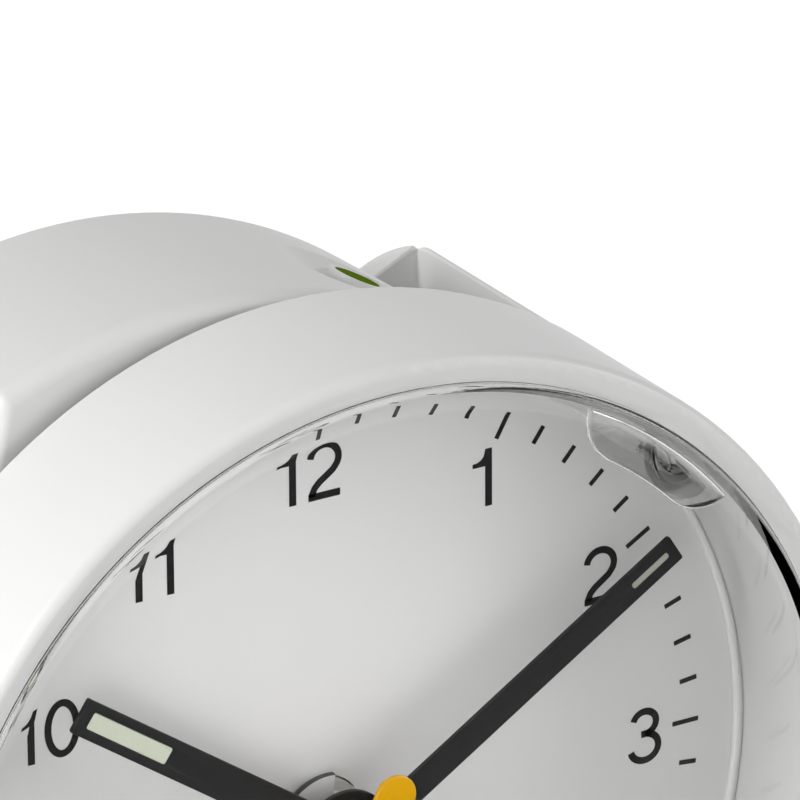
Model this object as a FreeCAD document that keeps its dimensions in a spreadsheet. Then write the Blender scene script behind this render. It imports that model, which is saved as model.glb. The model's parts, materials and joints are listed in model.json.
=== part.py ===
import FreeCAD, Part
import math
import os
import re
import Sketcher
from FreeCAD import Placement, Rotation, Vector

# A round quartz alarm clock with a rocker on top, 68 mm across.
# X runs to the right, Y to the back and Z up. The origin is on the table, under the middle of the clock.
# Each piece is drawn in the dial's own frame: x to the right, y up, z out of the dial towards the reader.
# Sizes named "back", "depth" or "behind" count away from the reader, so they enter with a minus sign.

SIZES = {
    # Case: ring, drum and base
    "ring_radius": 33.8,
    "ring_above_table": 1.6,
    "ring_front": 10.0,
    "ring_back": 2.5,
    "ring_wall": 1.85,
    "ring_edge_round": 0.85,
    "parting_gap": 0.15,
    "drum_step": 0.1,
    "drum_wall": 1.8,
    "drum_floor": 1.6,
    "drum_round": 3.0,
    "spigot_length": 2.2,
    "shell_fit": 0.1,
    "base_height": 0.9,
    "base_half_width": 16.0,
    "base_reach": 6.5,
    "foot_radius": 3.2,
    "foot_inset": 0.6,
    "foot_spread": 11.0,
    "foot_front_edge": 1.1,
    "foot_back_edge": 0.6,
    # Dial and crystal
    "bezel_width": 2.65,
    "dial_thickness": 0.8,
    "dial_fit": 0.1,
    "ledge_width": 1.35,
    "ledge_thickness": 1.0,
    "crystal_rise": 0.1,
    "crystal_thickness": 1.2,
    "crystal_edge_round": 0.4,
    "skirt_wall": 0.65,
    "crystal_fit": 0.1,
    # Light guide and lamp
    "guide_low": 4.2,
    "guide_width": 2.2,
    "guide_strip_width": 0.8,
    "guide_strip_height": 1.0,
    "guide_gap": 2.2,
    "guide_corner": 1.0,
    "guide_start": 27.0,
    "guide_split": 37.5,
    "guide_end": 49.0,
    "lamp_width": 1.6,
    "lamp_height": 1.0,
    # Rocker and its slot
    "rocker_tilt": 13.7,
    "pivot_height": 23.6,
    "rocker_step": 0.06,
    "rocker_drop": 0.7,
    "rocker_front": 3.3,
    "rocker_half": 20.86,
    "rocker_skirt": 19.6,
    "rocker_wall": 1.5,
    "rocker_round": 1.1,
    "rocker_back_round": 2.2,
    "slot_gap": 0.5,
    "slot_back_gap": 0.35,
    "slot_wall": 1.75,
    "slot_edge_round": 0.2,
    "well_floor": 14.0,
    "well_wall": 1.2,
    "well_front_gap": 0.2,
    "notch_height": 23.8,
    "notch_half": 17.2,
    "notch_slope": 25.0,
    "dimple_angle": 11.0,
    "dimple_centre": 10.5,
    "dimple_depth": 0.8,
    "dimple_width": 6.7,
    "dimple_length": 10.8,
    "marker_angle": 13.9,
    "marker_centre": 10.9,
    "marker_radius": 1.5,
    "marker_sink": 0.15,
    "marker_collar": 0.35,
    "pin_radius": 1.0,
    "pivot_fit": 0.06,
    "press_fit": 0.02,
    "ear_thickness": 1.2,
    "ear_gap": 0.5,
    "hub_thickness": 1.5,
    "hub_radius": 2.2,
    "bracket_half": 5.5,
    "bracket_thickness": 1.2,
    # Alarm switch, moved by a peg under the rocker
    "switch_behind": 12.7,
    "switch_length": 8.0,
    "switch_width": 3.6,
    "switch_height": 1.7,
    "slider_gap": 0.3,
    "slider_height": 2.2,
    "slider_width": 1.5,
    "slider_tongue": 0.8,
    "slider_tongue_depth": 0.9,
    "slider_travel": 1.4,
    "slider_fit": 0.08,
    "peg_half": 0.5,
    "peg_thickness": 1.2,
    "peg_reach": 5.4,
    "slider_fork_wall": 0.7,
    "slider_fork_gap": 0.45,
    # Hands
    "alarm_hand_level": 0.7,
    "alarm_disc_radius": 3.5,
    "alarm_disc_thickness": 0.4,
    "alarm_hand_margin": 14.15,
    "alarm_hand_width": 0.9,
    "alarm_hub_radius": 2.9,
    "alarm_notch_start": 158.0,
    "alarm_notch_end": 230.0,
    "alarm_time": 210.0,
    "hour_hand_level": 2.85,
    "hour_hub_radius": 3.2,
    "hour_hand_margin": 8.5,
    "hour_hand_width": 2.35,
    "hour_time": 304.8,
    "hour_lume_margin": 0.85,
    "hour_lume_length": 6.6,
    "hour_lume_width": 1.14,
    "minute_hand_level": 3.9,
    "minute_hub_radius": 2.4,
    "minute_hand_margin": 3.6,
    "minute_hand_width": 1.92,
    "minute_time": 58.1,
    "minute_lume_margin": 0.7,
    "minute_lume_length": 3.05,
    "minute_lume_width": 0.46,
    "hand_thickness": 0.35,
    "lume_fit": 0.03,
    "second_hand_level": 6.0,
    "second_hand_margin": 5.15,
    "second_hand_width": 0.8,
    "second_tail_length": 5.45,
    "second_tail_width": 2.9,
    "second_hub_radius": 1.9,
    "second_hub_height": 1.1,
    "second_time": 205.0,
    # Concentric tubes, from the inside out
    "second_arbor_radius": 0.35,
    "cannon_bore": 0.43,
    "cannon_radius": 0.9,
    "hour_bore": 0.97,
    "hour_tube_radius": 1.45,
    "alarm_bore": 1.52,
    "alarm_tube_radius": 2.05,
    "bush_bore": 2.12,
    "bush_radius": 2.9,
    "bush_rise": 0.5,
    "dial_bore": 3.0,
    # Movement case
    "plate_thickness": 1.0,
    "movement_half_width": 19.8,
    "movement_head_gap": 0.5,
    "movement_bottom": 19.0,
    "movement_corner": 4.0,
    "movement_depth": 10.8,
    "movement_wall": 0.7,
    "mid_plate_front": 5.5,
    "mid_plate_thickness": 0.7,
    "mid_plate_bottom": 12.0,
    "arbor_radius": 0.5,
    "arbor_fit": 0.06,
    "post_radius": 1.6,
    "post_inset": 2.2,
    "movement_screw_radius": 0.7,
    "movement_screw_head": 1.25,
    "movement_screw_head_height": 0.5,
    # Gear train
    "train_module": 0.2,
    "second_pinion_teeth": 8,
    "third_wheel_teeth": 60,
    "third_pinion_teeth": 8,
    "centre_wheel_teeth": 64,
    "second_wheel_teeth": 50,
    "fifth_pinion_teeth": 10,
    "fifth_wheel_teeth": 48,
    "rotor_pinion_teeth": 8,
    "train_gap": 0.35,
    "third_angle": 200.0,
    "fifth_angle": -60.0,
    "wheel_thickness": 0.5,
    "pinion_thickness": 0.8,
    # Motion work and setting gears
    "motion_distance": 7.2,
    "motion_gap": 0.5,
    "plate_gap": 0.3,
    "cannon_pinion_teeth": 12,
    "minute_wheel_teeth": 36,
    "minute_pinion_teeth": 10,
    "hour_wheel_teeth": 40,
    "time_pinion_teeth": 12,
    "alarm_wheel_teeth": 40,
    "alarm_pinion_teeth": 20,
    "knob_across": 13.5,
    "knob_up": 4.0,
    "knob_radius": 5.0,
    "knob_height": 3.3,
    "knob_edge_round": 0.5,
    "knob_gap": 0.2,
    "knob_bore_depth": 2.4,
    "shaft_radius": 1.2,
    "shaft_fit": 0.08,
    # Motor
    "magnet_radius": 2.6,
    "magnet_gap": 0.4,
    "magnet_front": 6.7,
    "magnet_length": 1.7,
    "stator_front": 7.2,
    "stator_thickness": 0.6,
    "coil_radius": 2.3,
    "coil_length": 15.0,
    "core_radius": 0.9,
    "coil_below": 15.3,
    # Board and sounder
    "board_gap": 1.0,
    "board_half_width": 10.0,
    "board_bottom": -2.8,
    "board_top": 11.8,
    "board_thickness": 1.0,
    "can_inset": 1.6,
    "can_radius": 1.0,
    "can_length": 6.0,
    "chip_size": 5.0,
    "chip_height": 1.2,
    "buzzer_radius": 7.5,
    "buzzer_height": 2.8,
    "buzzer_fit": 0.15,
    "sound_hole_radius": 0.7,
    "sound_pitch": 2.9,
    # Battery compartment
    "cell_radius": 5.25,
    "cell_length": 44.5,
    "cell_nub_radius": 1.9,
    "cell_nub_length": 0.8,
    "cell_below": 10.0,
    "cell_clearance": 0.25,
    "contact_room": 2.7,
    "bay_gap": 0.1,
    "bay_wall": 0.7,
    "door_thickness": 1.3,
    "door_lap": 0.7,
    "door_fit": 0.15,
    "contact_thickness": 0.4,
    "contact_half_width": 4.0,
    # Screws through the drum into the ring
    "upper_screw_angle": 22.4,
    "lower_screw_angle": -61.0,
    "boss_radius": 2.7,
    "boss_gap": 0.3,
    "screw_radius": 0.95,
    "screw_fit": 0.15,
    "screw_head_radius": 1.8,
    "screw_head_height": 1.2,
    "screw_sink": 2.0,
    "ring_boss_length": 3.4,
}

doc = FreeCAD.newDocument("alarm_clock")
sheet = doc.addObject("Spreadsheet::Sheet", "Sizes")
for row, (size_name, size) in enumerate(SIZES.items(), start=1):
    sheet.set(f"A{row}", size_name)
    sheet.set(f"B{row}", str(size))
    sheet.setAlias(f"B{row}", size_name)
doc.recompute()

# Sizes that follow from the driving ones, each under its own name.
FOLLOWING = {
    # The battery lies behind the movement, under the door, and so sets the drum's depth.
    "bay_depth": "2 * (cell_radius + cell_clearance)",
    "drum_depth": "movement_depth + movement_screw_head_height + bay_gap + bay_wall + bay_depth + door_thickness",
    "rocker_back": "drum_depth - slot_wall - slot_back_gap",
    "foot_back": "drum_depth - drum_round - foot_radius - foot_back_edge",
    "foot_front": "base_reach - foot_radius - foot_front_edge",
    "crystal_front": "ring_front + crystal_rise",
    # The knobs' faces and the crystal's face lie equally far from the origin.
    "knob_back": "drum_depth + knob_gap + knob_height",
    "dial_height": "ring_radius + ring_above_table",
    "drum_radius": "ring_radius - drum_step",
    "rocker_radius": "ring_radius - rocker_step",
    "dial_radius": "ring_radius - bezel_width",
    "ledge_bore": "dial_radius - ledge_width",
    "bore_front": "ring_radius - ring_wall",
    "bore_back": "dial_radius + dial_fit",
    "plate_back": "dial_thickness + plate_thickness",
    "ledge_back": "plate_back + ledge_thickness",
    "crystal_back": "crystal_front - crystal_thickness",
    "crystal_radius": "bore_front - crystal_fit",
    "skirt_outer": "bore_back - crystal_fit",
    "guide_outer": "skirt_outer - skirt_wall",
    "guide_inner": "guide_outer - guide_width",
    "alarm_hand_length": "dial_radius - alarm_hand_margin",
    "hour_hand_length": "dial_radius - hour_hand_margin",
    "hour_lume_start": "hour_hand_length - hour_lume_margin - hour_lume_length",
    "minute_hand_length": "dial_radius - minute_hand_margin",
    "minute_lume_start": "minute_hand_length - minute_lume_margin - minute_lume_length",
    "second_hand_length": "dial_radius - second_hand_margin",
    "drum_bore": "drum_radius - drum_wall",
    "drum_front": "ring_back + parting_gap",
    "drum_inside": "drum_depth - drum_floor",
    "spigot_radius": "drum_bore - shell_fit",
    "base_bottom": "dial_height - base_height",
    "slot_half": "rocker_half + slot_gap",
    "slot_back": "rocker_back + slot_back_gap",
    "well_half": "slot_half + well_wall",
    "well_front": "ledge_back + well_front_gap",
    "well_bottom": "well_floor - well_wall",
    "well_top": "sqrt((drum_radius - drum_wall / 2) ^ 2 - well_half ^ 2)",
    "well_shoulder": "sqrt((drum_radius - drum_wall / 2) ^ 2 - (well_half / 2) ^ 2)",
    "web_top": "sqrt(ledge_bore ^ 2 - well_half ^ 2) + 1",
    "ear_front": "rocker_front + rocker_wall + ear_gap",
    "hub_front": "ear_front + ear_thickness + ear_gap",
    "ear_back": "rocker_back - rocker_wall - ear_gap",
    "hub_back": "ear_back - ear_thickness - ear_gap",
    "bracket_top": "well_floor + bracket_thickness",
    "switch_top": "bracket_top + switch_height",
    "peg_tip": "pivot_height - peg_reach",
    "peg_lever": "pivot_height - switch_top - slider_gap - slider_height / 2",
    "slider_half": "peg_half + slider_fork_gap + slider_fork_wall",
    "third_distance": "train_module * (second_pinion_teeth + third_wheel_teeth) / 2",
    "fifth_distance": "train_module * (second_wheel_teeth + fifth_pinion_teeth) / 2",
    "rotor_distance": "train_module * (fifth_wheel_teeth + rotor_pinion_teeth) / 2",
    "movement_top": "well_bottom - movement_head_gap",
    "centre_wheel_front": "mid_plate_front + mid_plate_thickness + train_gap",
    "third_wheel_front": "centre_wheel_front + wheel_thickness + train_gap",
    "second_wheel_front": "third_wheel_front + wheel_thickness + train_gap",
    "fifth_wheel_front": "second_wheel_front + wheel_thickness + train_gap",
    "movement_inside": "movement_depth - movement_wall",
    "alarm_wheel_front": "plate_back + plate_gap",
    "hour_wheel_front": "alarm_wheel_front + wheel_thickness + motion_gap",
    "minute_wheel_front": "hour_wheel_front + wheel_thickness + motion_gap",
    "coil_centre": "stator_front + stator_thickness / 2",
    "board_front": "movement_depth + board_gap",
    "cell_behind": "drum_depth - door_thickness - cell_clearance - cell_radius",
    "bay_front": "cell_behind - cell_radius - cell_clearance",
    "bay_half_height": "cell_radius + cell_clearance",
    "bay_half_width": "(cell_length + contact_room) / 2",
    "cell_left": "contact_thickness + 0.2 - bay_half_width",
    "cell_right": "cell_left + cell_length",
    "door_half_width": "bay_half_width + door_lap",
    "door_half_height": "bay_half_height + door_lap",
    "screw_circle": "drum_bore - boss_radius - boss_gap",
    "screw_seat": "drum_depth - screw_sink - screw_head_height",
    "ring_boss_back": "ledge_back + ring_boss_length",
}


def spelled(words):
    """An expression in names of sizes, with each name spelled as a cell of the sheet."""
    def cell(match):
        name = match.group(0)
        if name in FOLLOWING:
            return "(" + spelled(FOLLOWING[name]) + ")"
        return "Sizes." + name if name in SIZES else name
    return re.sub(r"[a-z][a-z_0-9]*", cell, str(words))


def size_of(words):
    """The value that an expression in names of sizes has now."""
    found = sheet.evalExpression(spelled(words))
    return float(getattr(found, "Value", found))


DIAL = Placement(
    Vector(0, size_of("(crystal_front - knob_back) / 2"), size_of("dial_height")),
    Rotation(Vector(1, 0, 0), 90),
)


def on_dial(across="0", up="0", turn="0"):
    """The dial's frame moved across and up, then turned clockwise as the reader sees it."""
    there = Vector(size_of(across), size_of(up), 0)
    return DIAL * Placement(there, Rotation(Vector(0, 0, 1), -size_of(turn)))


def new_body(label, place=DIAL):
    body = doc.addObject("PartDesign::Body", label)
    body.Label = label
    body.Placement = place
    return body


def new_sketch(body, plane, level):
    """An empty sketch on one of the body's own origin planes, lifted to a level."""
    sketch = body.newObject("Sketcher::SketchObject", body.Label + "_sketch")
    base = [face for face in body.Origin.OriginFeatures if face.Role == plane][0]
    sketch.AttachmentSupport = [(base, "")]
    sketch.MapMode = "FlatFace"
    sketch.AttachmentOffset = Placement(Vector(0, 0, size_of(level)), Rotation())
    sketch.setExpression("AttachmentOffset.Base.z", spelled(level))
    return sketch


def pin_point(sketch, line, end, across, up):
    """Hold one end of a line at a place given by two expressions."""
    for kind, words in (("DistanceX", across), ("DistanceY", up)):
        index = sketch.addConstraint(Sketcher.Constraint(kind, -1, 1, line, end, size_of(words)))
        sketch.setExpression(f"Constraints[{index}]", spelled(words))


def outline(body, corners, level="0", plane="XY_Plane"):
    """A closed outline with straight sides, each corner a pair of expressions."""
    sketch = new_sketch(body, plane, level)
    points = [Vector(size_of(across), size_of(up), 0) for across, up in corners]
    for here, there in zip(points, points[1:] + points[:1]):
        sketch.addGeometry(Part.LineSegment(here, there), False)
    for line, (across, up) in enumerate(corners):
        following = (line + 1) % len(corners)
        sketch.addConstraint(Sketcher.Constraint("Coincident", line, 2, following, 1))
        pin_point(sketch, line, 1, across, up)
    return sketch


def circles(body, rounds, level="0"):
    """Circles, each given by three expressions: across, up and radius."""
    sketch = new_sketch(body, "XY_Plane", level)
    for number, (across, up, radius) in enumerate(rounds):
        centre = Vector(size_of(across), size_of(up), 0)
        sketch.addGeometry(Part.Circle(centre, Vector(0, 0, 1), size_of(radius)), False)
        index = sketch.addConstraint(Sketcher.Constraint("Radius", number, size_of(radius)))
        sketch.setExpression(f"Constraints[{index}]", spelled(radius))
        pin_point(sketch, number, 3, across, up)
    return sketch


def add(body, sketch, low, high):
    """Fill a sketch drawn at the low level up to the high one."""
    feature = body.newObject("PartDesign::Pad", body.Label + "_pad")
    feature.Profile = sketch
    feature.setExpression("Length", spelled(f"({high}) - ({low})"))
    return feature


def cut(body, sketch, low, high):
    """Cut a sketch drawn at the high level down to the low one."""
    feature = body.newObject("PartDesign::Pocket", body.Label + "_pocket")
    feature.Profile = sketch
    feature.setExpression("Length", spelled(f"({high}) - ({low})"))
    return feature


def add_outline(body, corners, low, high):
    return add(body, outline(body, corners, low), low, high)


def cut_outline(body, corners, low, high):
    return cut(body, outline(body, corners, high), low, high)


def add_rounds(body, rounds, low, high):
    return add(body, circles(body, rounds, low), low, high)


def cut_rounds(body, rounds, low, high):
    return cut(body, circles(body, rounds, high), low, high)


def turned(body, corners, kind="PartDesign::Revolution"):
    """Turn an outline of radius and level round the dial's axis, to add or to cut."""
    sketch = outline(body, corners, plane="XZ_Plane")
    feature = body.newObject(kind, body.Label + "_turned")
    feature.Profile = sketch
    feature.ReferenceAxis = (sketch, ["V_Axis"])
    feature.Angle = 360
    return feature


def rounded(body, radius, wanted):
    """Round the edges of the body's last feature for which wanted(middle, ends) holds."""
    doc.recompute()
    base = body.Tip
    names = []
    for number, edge in enumerate(base.Shape.Edges, start=1):
        first, last = edge.ParameterRange
        points = [edge.valueAt(first), edge.valueAt((first + last) / 2), edge.valueAt(last)]
        if wanted(points):
            names.append(f"Edge{number}")
    fillet = body.newObject("PartDesign::Fillet", body.Label + "_round")
    fillet.Base = (base, names)
    fillet.setExpression("Radius", spelled(radius))
    return fillet


def round_edge(radius, level):
    """Tells whether an edge lies on a circle about the dial's axis at a level."""
    reach = size_of(radius)
    height = size_of(level)

    def wanted(points):
        return all(abs(math.hypot(p.x, p.y) - reach) < 0.01 and abs(p.z - height) < 0.01 for p in points)
    return wanted


def box(half, bottom, top):
    """The corners of an upright rectangle, the same to the left and right of the middle."""
    return [(f"-({half})", bottom), (half, bottom), (half, top), (f"-({half})", top)]


def rectangle(left, right, bottom, top):
    return [(left, bottom), (right, bottom), (right, top), (left, top)]


def feature(label, shape, place=DIAL):
    """A piece whose shape is worked out by Part's own functions."""
    piece = doc.addObject("Part::Feature", label)
    piece.Label = label
    piece.Shape = shape
    piece.Placement = place
    return piece


def rod(radius, low, high, across="0", up="0"):
    """A round bar along the dial's axis, its sizes read from the sheet."""
    start = Vector(size_of(across), size_of(up), size_of(low))
    return Part.makeCylinder(size_of(radius), size_of(f"({high}) - ({low})"), start)


def slab(left, right, bottom, top, low, high):
    start = Vector(size_of(left), size_of(bottom), size_of(low))
    spans = [size_of(f"({b}) - ({a})") for a, b in ((left, right), (bottom, top), (low, high))]
    return Part.makeBox(spans[0], spans[1], spans[2], start)


# Part of a pitch that a tooth fills at its tip, pitch circle and root.
TOOTH_TIP = 0.17
TOOTH_MIDDLE = 0.36
TOOTH_ROOT = 0.5
ADDENDUM = 0.8
DEDENDUM = 1.15


def gear(teeth, module, low, high, turn=0.0):
    """A spur gear. Its first tooth points along x, or turn degrees further round."""
    count = round(size_of(teeth))
    pitch_radius = count * module / 2
    pitch = 2 * math.pi / count
    rim = []
    for tooth in range(count):
        middle = math.radians(turn) + tooth * pitch
        for share, reach in (
            (-TOOTH_ROOT, -DEDENDUM),
            (-TOOTH_MIDDLE, 0),
            (-TOOTH_TIP, ADDENDUM),
            (TOOTH_TIP, ADDENDUM),
            (TOOTH_MIDDLE, 0),
            (TOOTH_ROOT, -DEDENDUM),
        ):
            angle = middle + share * pitch / 2
            radius = pitch_radius + reach * module
            rim.append(Vector(radius * math.cos(angle), radius * math.sin(angle), size_of(low)))
    face = Part.Face(Part.makePolygon(rim + rim[:1]))
    return face.extrude(Vector(0, 0, size_of(f"({high}) - ({low})")))


def meshing_turn(first_teeth, first_turn, second_teeth, direction):
    """How far a second gear is turned so that its gap takes the first gear's tooth."""
    first = size_of(first_teeth)
    second = size_of(second_teeth)
    return direction + 180 + 180 / second - (first_turn - direction) * first / second


# Front ring, its seat for the crystal and its ledge for the dial
def plinth(radius):
    """The base's outline: an arc of short sides inside the wall, above a flat foot."""
    arc = [(f"{radius} * sin({angle})", f"-{radius} * cos({angle})") for angle in (34, 17, 0, -17, -34)]
    return arc + [("-base_half_width", "-base_bottom"), ("base_half_width", "-base_bottom")]


SCREW_PLACES = [
    (f"{side} * screw_circle * cos({angle})", f"screw_circle * sin({angle})")
    for angle in ("upper_screw_angle", "lower_screw_angle") for side in (1, -1)
]


def front_housing():
    body = new_body("front_housing")
    turned(body, [
        ("ring_radius", "-ring_back"),
        ("ring_radius", "ring_front"),
        ("bore_front", "ring_front"),
        ("bore_front", "crystal_back"),
        ("bore_back", "0"),
        ("bore_back", "-plate_back"),
        ("ledge_bore", "-plate_back"),
        ("ledge_bore", "-(ledge_back + spigot_length)"),
        ("spigot_radius", "-(ledge_back + spigot_length)"),
        ("spigot_radius", "-ring_back"),
    ])
    rounded(body, "ring_edge_round", round_edge("ring_radius", "ring_front"))
    add_outline(body, plinth("(ring_radius - ring_wall / 2)"), "-ring_back", "base_reach")
    # The web closes the front of the rocker's well.
    web = [
        ("-well_half", "well_bottom"),
        ("well_half", "well_bottom"),
        ("well_half", "web_top"),
        ("well_half / 2", "ledge_bore * 0.95"),
        ("0", "ledge_bore + 1"),
        ("-well_half / 2", "ledge_bore * 0.95"),
        ("-well_half", "web_top"),
    ]
    add_outline(body, web, "-ledge_back", "-plate_back")
    bosses = [(across, up, "screw_head_radius + 0.5") for across, up in SCREW_PLACES]
    add_rounds(body, bosses, "-ring_boss_back", "-plate_back")
    holes = [(across, up, "screw_radius") for across, up in SCREW_PLACES]
    cut_rounds(body, holes, "-(ring_boss_back + 1)", "-(plate_back + 0.3)")
    cut_outline(body, box("well_half + 0.7", "well_bottom", "ring_radius"),
                "-(ledge_back + spigot_length + 1)", "-ledge_back")
    feet = [(f"{side} * foot_spread", "foot_front", "foot_radius") for side in (1, -1)]
    cut_feet(body, feet)
    return body


def cut_feet(body, feet):
    """Round recesses under the base, drawn on a level plane: across, ahead of the dial, radius."""
    sketch = new_sketch(body, "XZ_Plane", "0")
    for number, (across, ahead, radius) in enumerate(feet):
        centre = Vector(size_of(across), size_of(ahead), 0)
        sketch.addGeometry(Part.Circle(centre, Vector(0, 0, 1), size_of(radius)), False)
        index = sketch.addConstraint(Sketcher.Constraint("Radius", number, size_of(radius)))
        sketch.setExpression(f"Constraints[{index}]", spelled(radius))
        pin_point(sketch, number, 3, across, ahead)
    sketch.AttachmentOffset = Placement(Vector(0, 0, size_of("base_bottom")), Rotation())
    sketch.setExpression("AttachmentOffset.Base.z", spelled("base_bottom"))
    pocket = body.newObject("PartDesign::Pocket", body.Label + "_foot_recess")
    pocket.Profile = sketch
    pocket.setExpression("Length", spelled("foot_inset"))
    return pocket


def slot_edge(points):
    """The top edges of the slot's ends, and the front edge of the wall behind it."""
    end = size_of("slot_half")
    back = -size_of("slot_back")
    along_end = all(abs(abs(p.x) - end) < 0.02 for p in points) and abs(points[0].z - points[2].z) > 1
    along_back = all(abs(p.z - back) < 0.02 for p in points)
    return (along_end and points[1].y > size_of("well_top + 1")) or (
        along_back and points[1].y > size_of("notch_height - 0.1"))


def rear_housing():
    """The drum: base, rocker's well, battery bay, screw bosses and the holes in its back."""
    body = new_body("rear_housing")
    turned(body, [
        ("0", "-drum_front"),
        ("drum_radius", "-drum_front"),
        ("drum_radius", "-drum_depth"),
        ("0", "-drum_depth"),
    ])
    rounded(body, "drum_round", round_edge("drum_radius", "-drum_depth"))
    add_outline(body, plinth("(drum_radius - drum_wall / 2)"), "-(drum_depth - drum_round)", "-drum_front")
    turned(body, [
        ("0", "-drum_front + 1"),
        ("drum_bore", "-drum_front + 1"),
        ("drum_bore", "-(drum_inside - drum_round / 2)"),
        ("drum_bore - drum_round / 2", "-drum_inside"),
        ("0", "-drum_inside"),
    ], "PartDesign::Groove")
    well = [
        ("-well_half", "well_bottom"),
        ("well_half", "well_bottom"),
        ("well_half", "well_top"),
        ("well_half / 2", "well_shoulder"),
        ("0", "drum_radius - drum_wall / 2"),
        ("-well_half / 2", "well_shoulder"),
        ("-well_half", "well_top"),
    ]
    add_outline(body, well, "-drum_inside", "-well_front")
    cut_outline(body, box("slot_half", "well_floor", "drum_radius + 1"), "-slot_back", "-drum_front + 1")
    # The drum's back wall dips between the ends of the slot.
    shoulder = "notch_height + (slot_half - notch_half) * tan(notch_slope)"
    notch = [
        ("-notch_half", "notch_height"),
        ("notch_half", "notch_height"),
        ("slot_half", shoulder),
        ("slot_half", "drum_radius + 1"),
        ("-slot_half", "drum_radius + 1"),
        ("-slot_half", shoulder),
    ]
    cut_outline(body, notch, "-(drum_depth + 1)", "-slot_back")
    rounded(body, "slot_edge_round", slot_edge)
    bay = box("bay_half_width + bay_wall", "-(cell_below + bay_half_height + bay_wall)",
              "-(cell_below - bay_half_height - bay_wall)")
    add_outline(body, bay, "-drum_inside", "-(bay_front - bay_wall)")
    opening = box("door_half_width", "-(cell_below + door_half_height)", "-(cell_below - door_half_height)")
    cut_outline(body, opening, "-(drum_depth + 1)", "-(drum_depth - door_thickness)")
    inside = box("bay_half_width", "-(cell_below + bay_half_height)", "-(cell_below - bay_half_height)")
    cut_outline(body, inside, "-(drum_depth + 1)", "-bay_front")
    bosses = [(across, up, "boss_radius") for across, up in SCREW_PLACES]
    add_rounds(body, bosses, "-drum_inside", "-(ring_boss_back + shell_fit)")
    cut_rounds(body, [(across, up, "screw_radius + screw_fit") for across, up in SCREW_PLACES],
               "-(drum_depth + 1)", "-drum_front")
    cut_rounds(body, [(across, up, "screw_head_radius + screw_fit") for across, up in SCREW_PLACES],
               "-(drum_depth + 1)", "-screw_seat")
    add_rounds(body, [("0", "knob_up", "buzzer_radius + buzzer_fit + bay_wall")],
               "-drum_inside", "-(drum_inside - buzzer_height / 2)")
    cut_rounds(body, [("0", "knob_up", "buzzer_radius + buzzer_fit")],
               "-drum_inside", "-(drum_inside - buzzer_height)")
    holes = [("0", "knob_up", "sound_hole_radius")]
    for turn in range(0, 360, 60):
        holes.append((f"sound_pitch * cos({turn})", f"knob_up + sound_pitch * sin({turn})", "sound_hole_radius"))
    holes += [(f"{side} * knob_across", "knob_up", "shaft_radius + shaft_fit") for side in (1, -1)]
    cut_rounds(body, holes, "-(drum_depth + 1)", "-(drum_inside - 0.1)")
    cut_feet(body, [(f"{side} * foot_spread", "-foot_back", "foot_radius") for side in (1, -1)])
    return body


def rubber_feet():
    """Four pads that stand out of their recesses by the base's height above the table."""
    pads = []
    for side in ("", "-"):
        for ahead in ("foot_front", "-foot_back"):
            centre = Vector(size_of(f"{side}foot_spread"), -size_of("dial_height"), size_of(ahead))
            pads.append(Part.makeCylinder(
                size_of("foot_radius"), size_of("base_height + foot_inset"), centre, Vector(0, 1, 0)))
    return feature("rubber_feet", Part.makeCompound(pads))


def case_screws():
    screws = []
    for across, up in SCREW_PLACES:
        head = rod("screw_head_radius", "-(screw_seat + screw_head_height)", "-screw_seat", across, up)
        shank = rod("screw_radius - press_fit", "-screw_seat", "-(plate_back + 0.6)", across, up)
        screws.append(head.fuse(shank).removeSplitter())
    return feature("case_screws", Part.makeCompound(screws))


# Crystal, dial and the clear lugs that light it
def crystal():
    body = new_body("crystal")
    turned(body, [
        ("0", "crystal_back"),
        ("0", "crystal_front"),
        ("crystal_radius", "crystal_front"),
        ("crystal_radius", "crystal_back"),
        ("skirt_outer", "0"),
        ("skirt_outer - skirt_wall", "0"),
        ("crystal_radius - skirt_wall", "crystal_back"),
    ])
    rounded(body, "crystal_edge_round", round_edge("crystal_radius", "crystal_front"))
    return body


def dial_plate():
    body = new_body("dial_plate")
    add_rounds(body, [("0", "0", "dial_radius"), ("0", "0", "dial_bore")], "-dial_thickness", "0")
    return body


def sector(inner, outer, start, end, low, high):
    """A curved block between two radii and two clockwise angles from twelve o'clock."""
    whole = rod(outer, low, high).cut(rod(inner, low, high))
    reach = size_of(outer) * 2
    corners = [Vector(0, 0, size_of(low))]
    for angle in (size_of(start), size_of(f"(({start}) + ({end})) / 2"), size_of(end)):
        turn = math.radians(angle)
        corners.append(Vector(reach * math.sin(turn), reach * math.cos(turn), size_of(low)))
    wedge = Part.Face(Part.makePolygon(corners + corners[:1]))
    return whole.common(wedge.extrude(Vector(0, 0, size_of(f"({high}) - ({low})"))))


def light_guide():
    """Two clear lugs on a curved strip, cut away between them for the lamp."""
    low = "guide_low"
    high = "crystal_back"
    outer = "guide_outer"
    strip = sector("guide_outer - guide_strip_width", outer, "guide_start", "guide_end",
                   "crystal_back - guide_strip_height", high)
    first = sector("guide_inner", outer, "guide_start", "guide_split - guide_gap", low, high)
    second = sector("guide_inner", outer, "guide_split + guide_gap", "guide_end", low, high)
    clear = strip.fuse([first, second]).removeSplitter()
    uprights = [edge for edge in clear.Edges
                if abs(edge.tangentAt(edge.FirstParameter).z) > 0.99
                and abs(math.hypot(edge.Vertexes[0].X, edge.Vertexes[0].Y) - size_of("guide_inner")) < 0.01]
    return feature("light_guide", clear.makeFillet(size_of("guide_corner"), uprights))


def dial_led():
    """The lamp hangs from the strip between the lugs."""
    depth = "guide_outer - 0.05"
    lamp = slab("-lamp_width / 2", "lamp_width / 2", f"{depth} - lamp_height", depth,
                "guide_low + 0.6", "crystal_back - guide_strip_height")
    return feature("dial_led", lamp, on_dial(turn="guide_split"))


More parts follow.
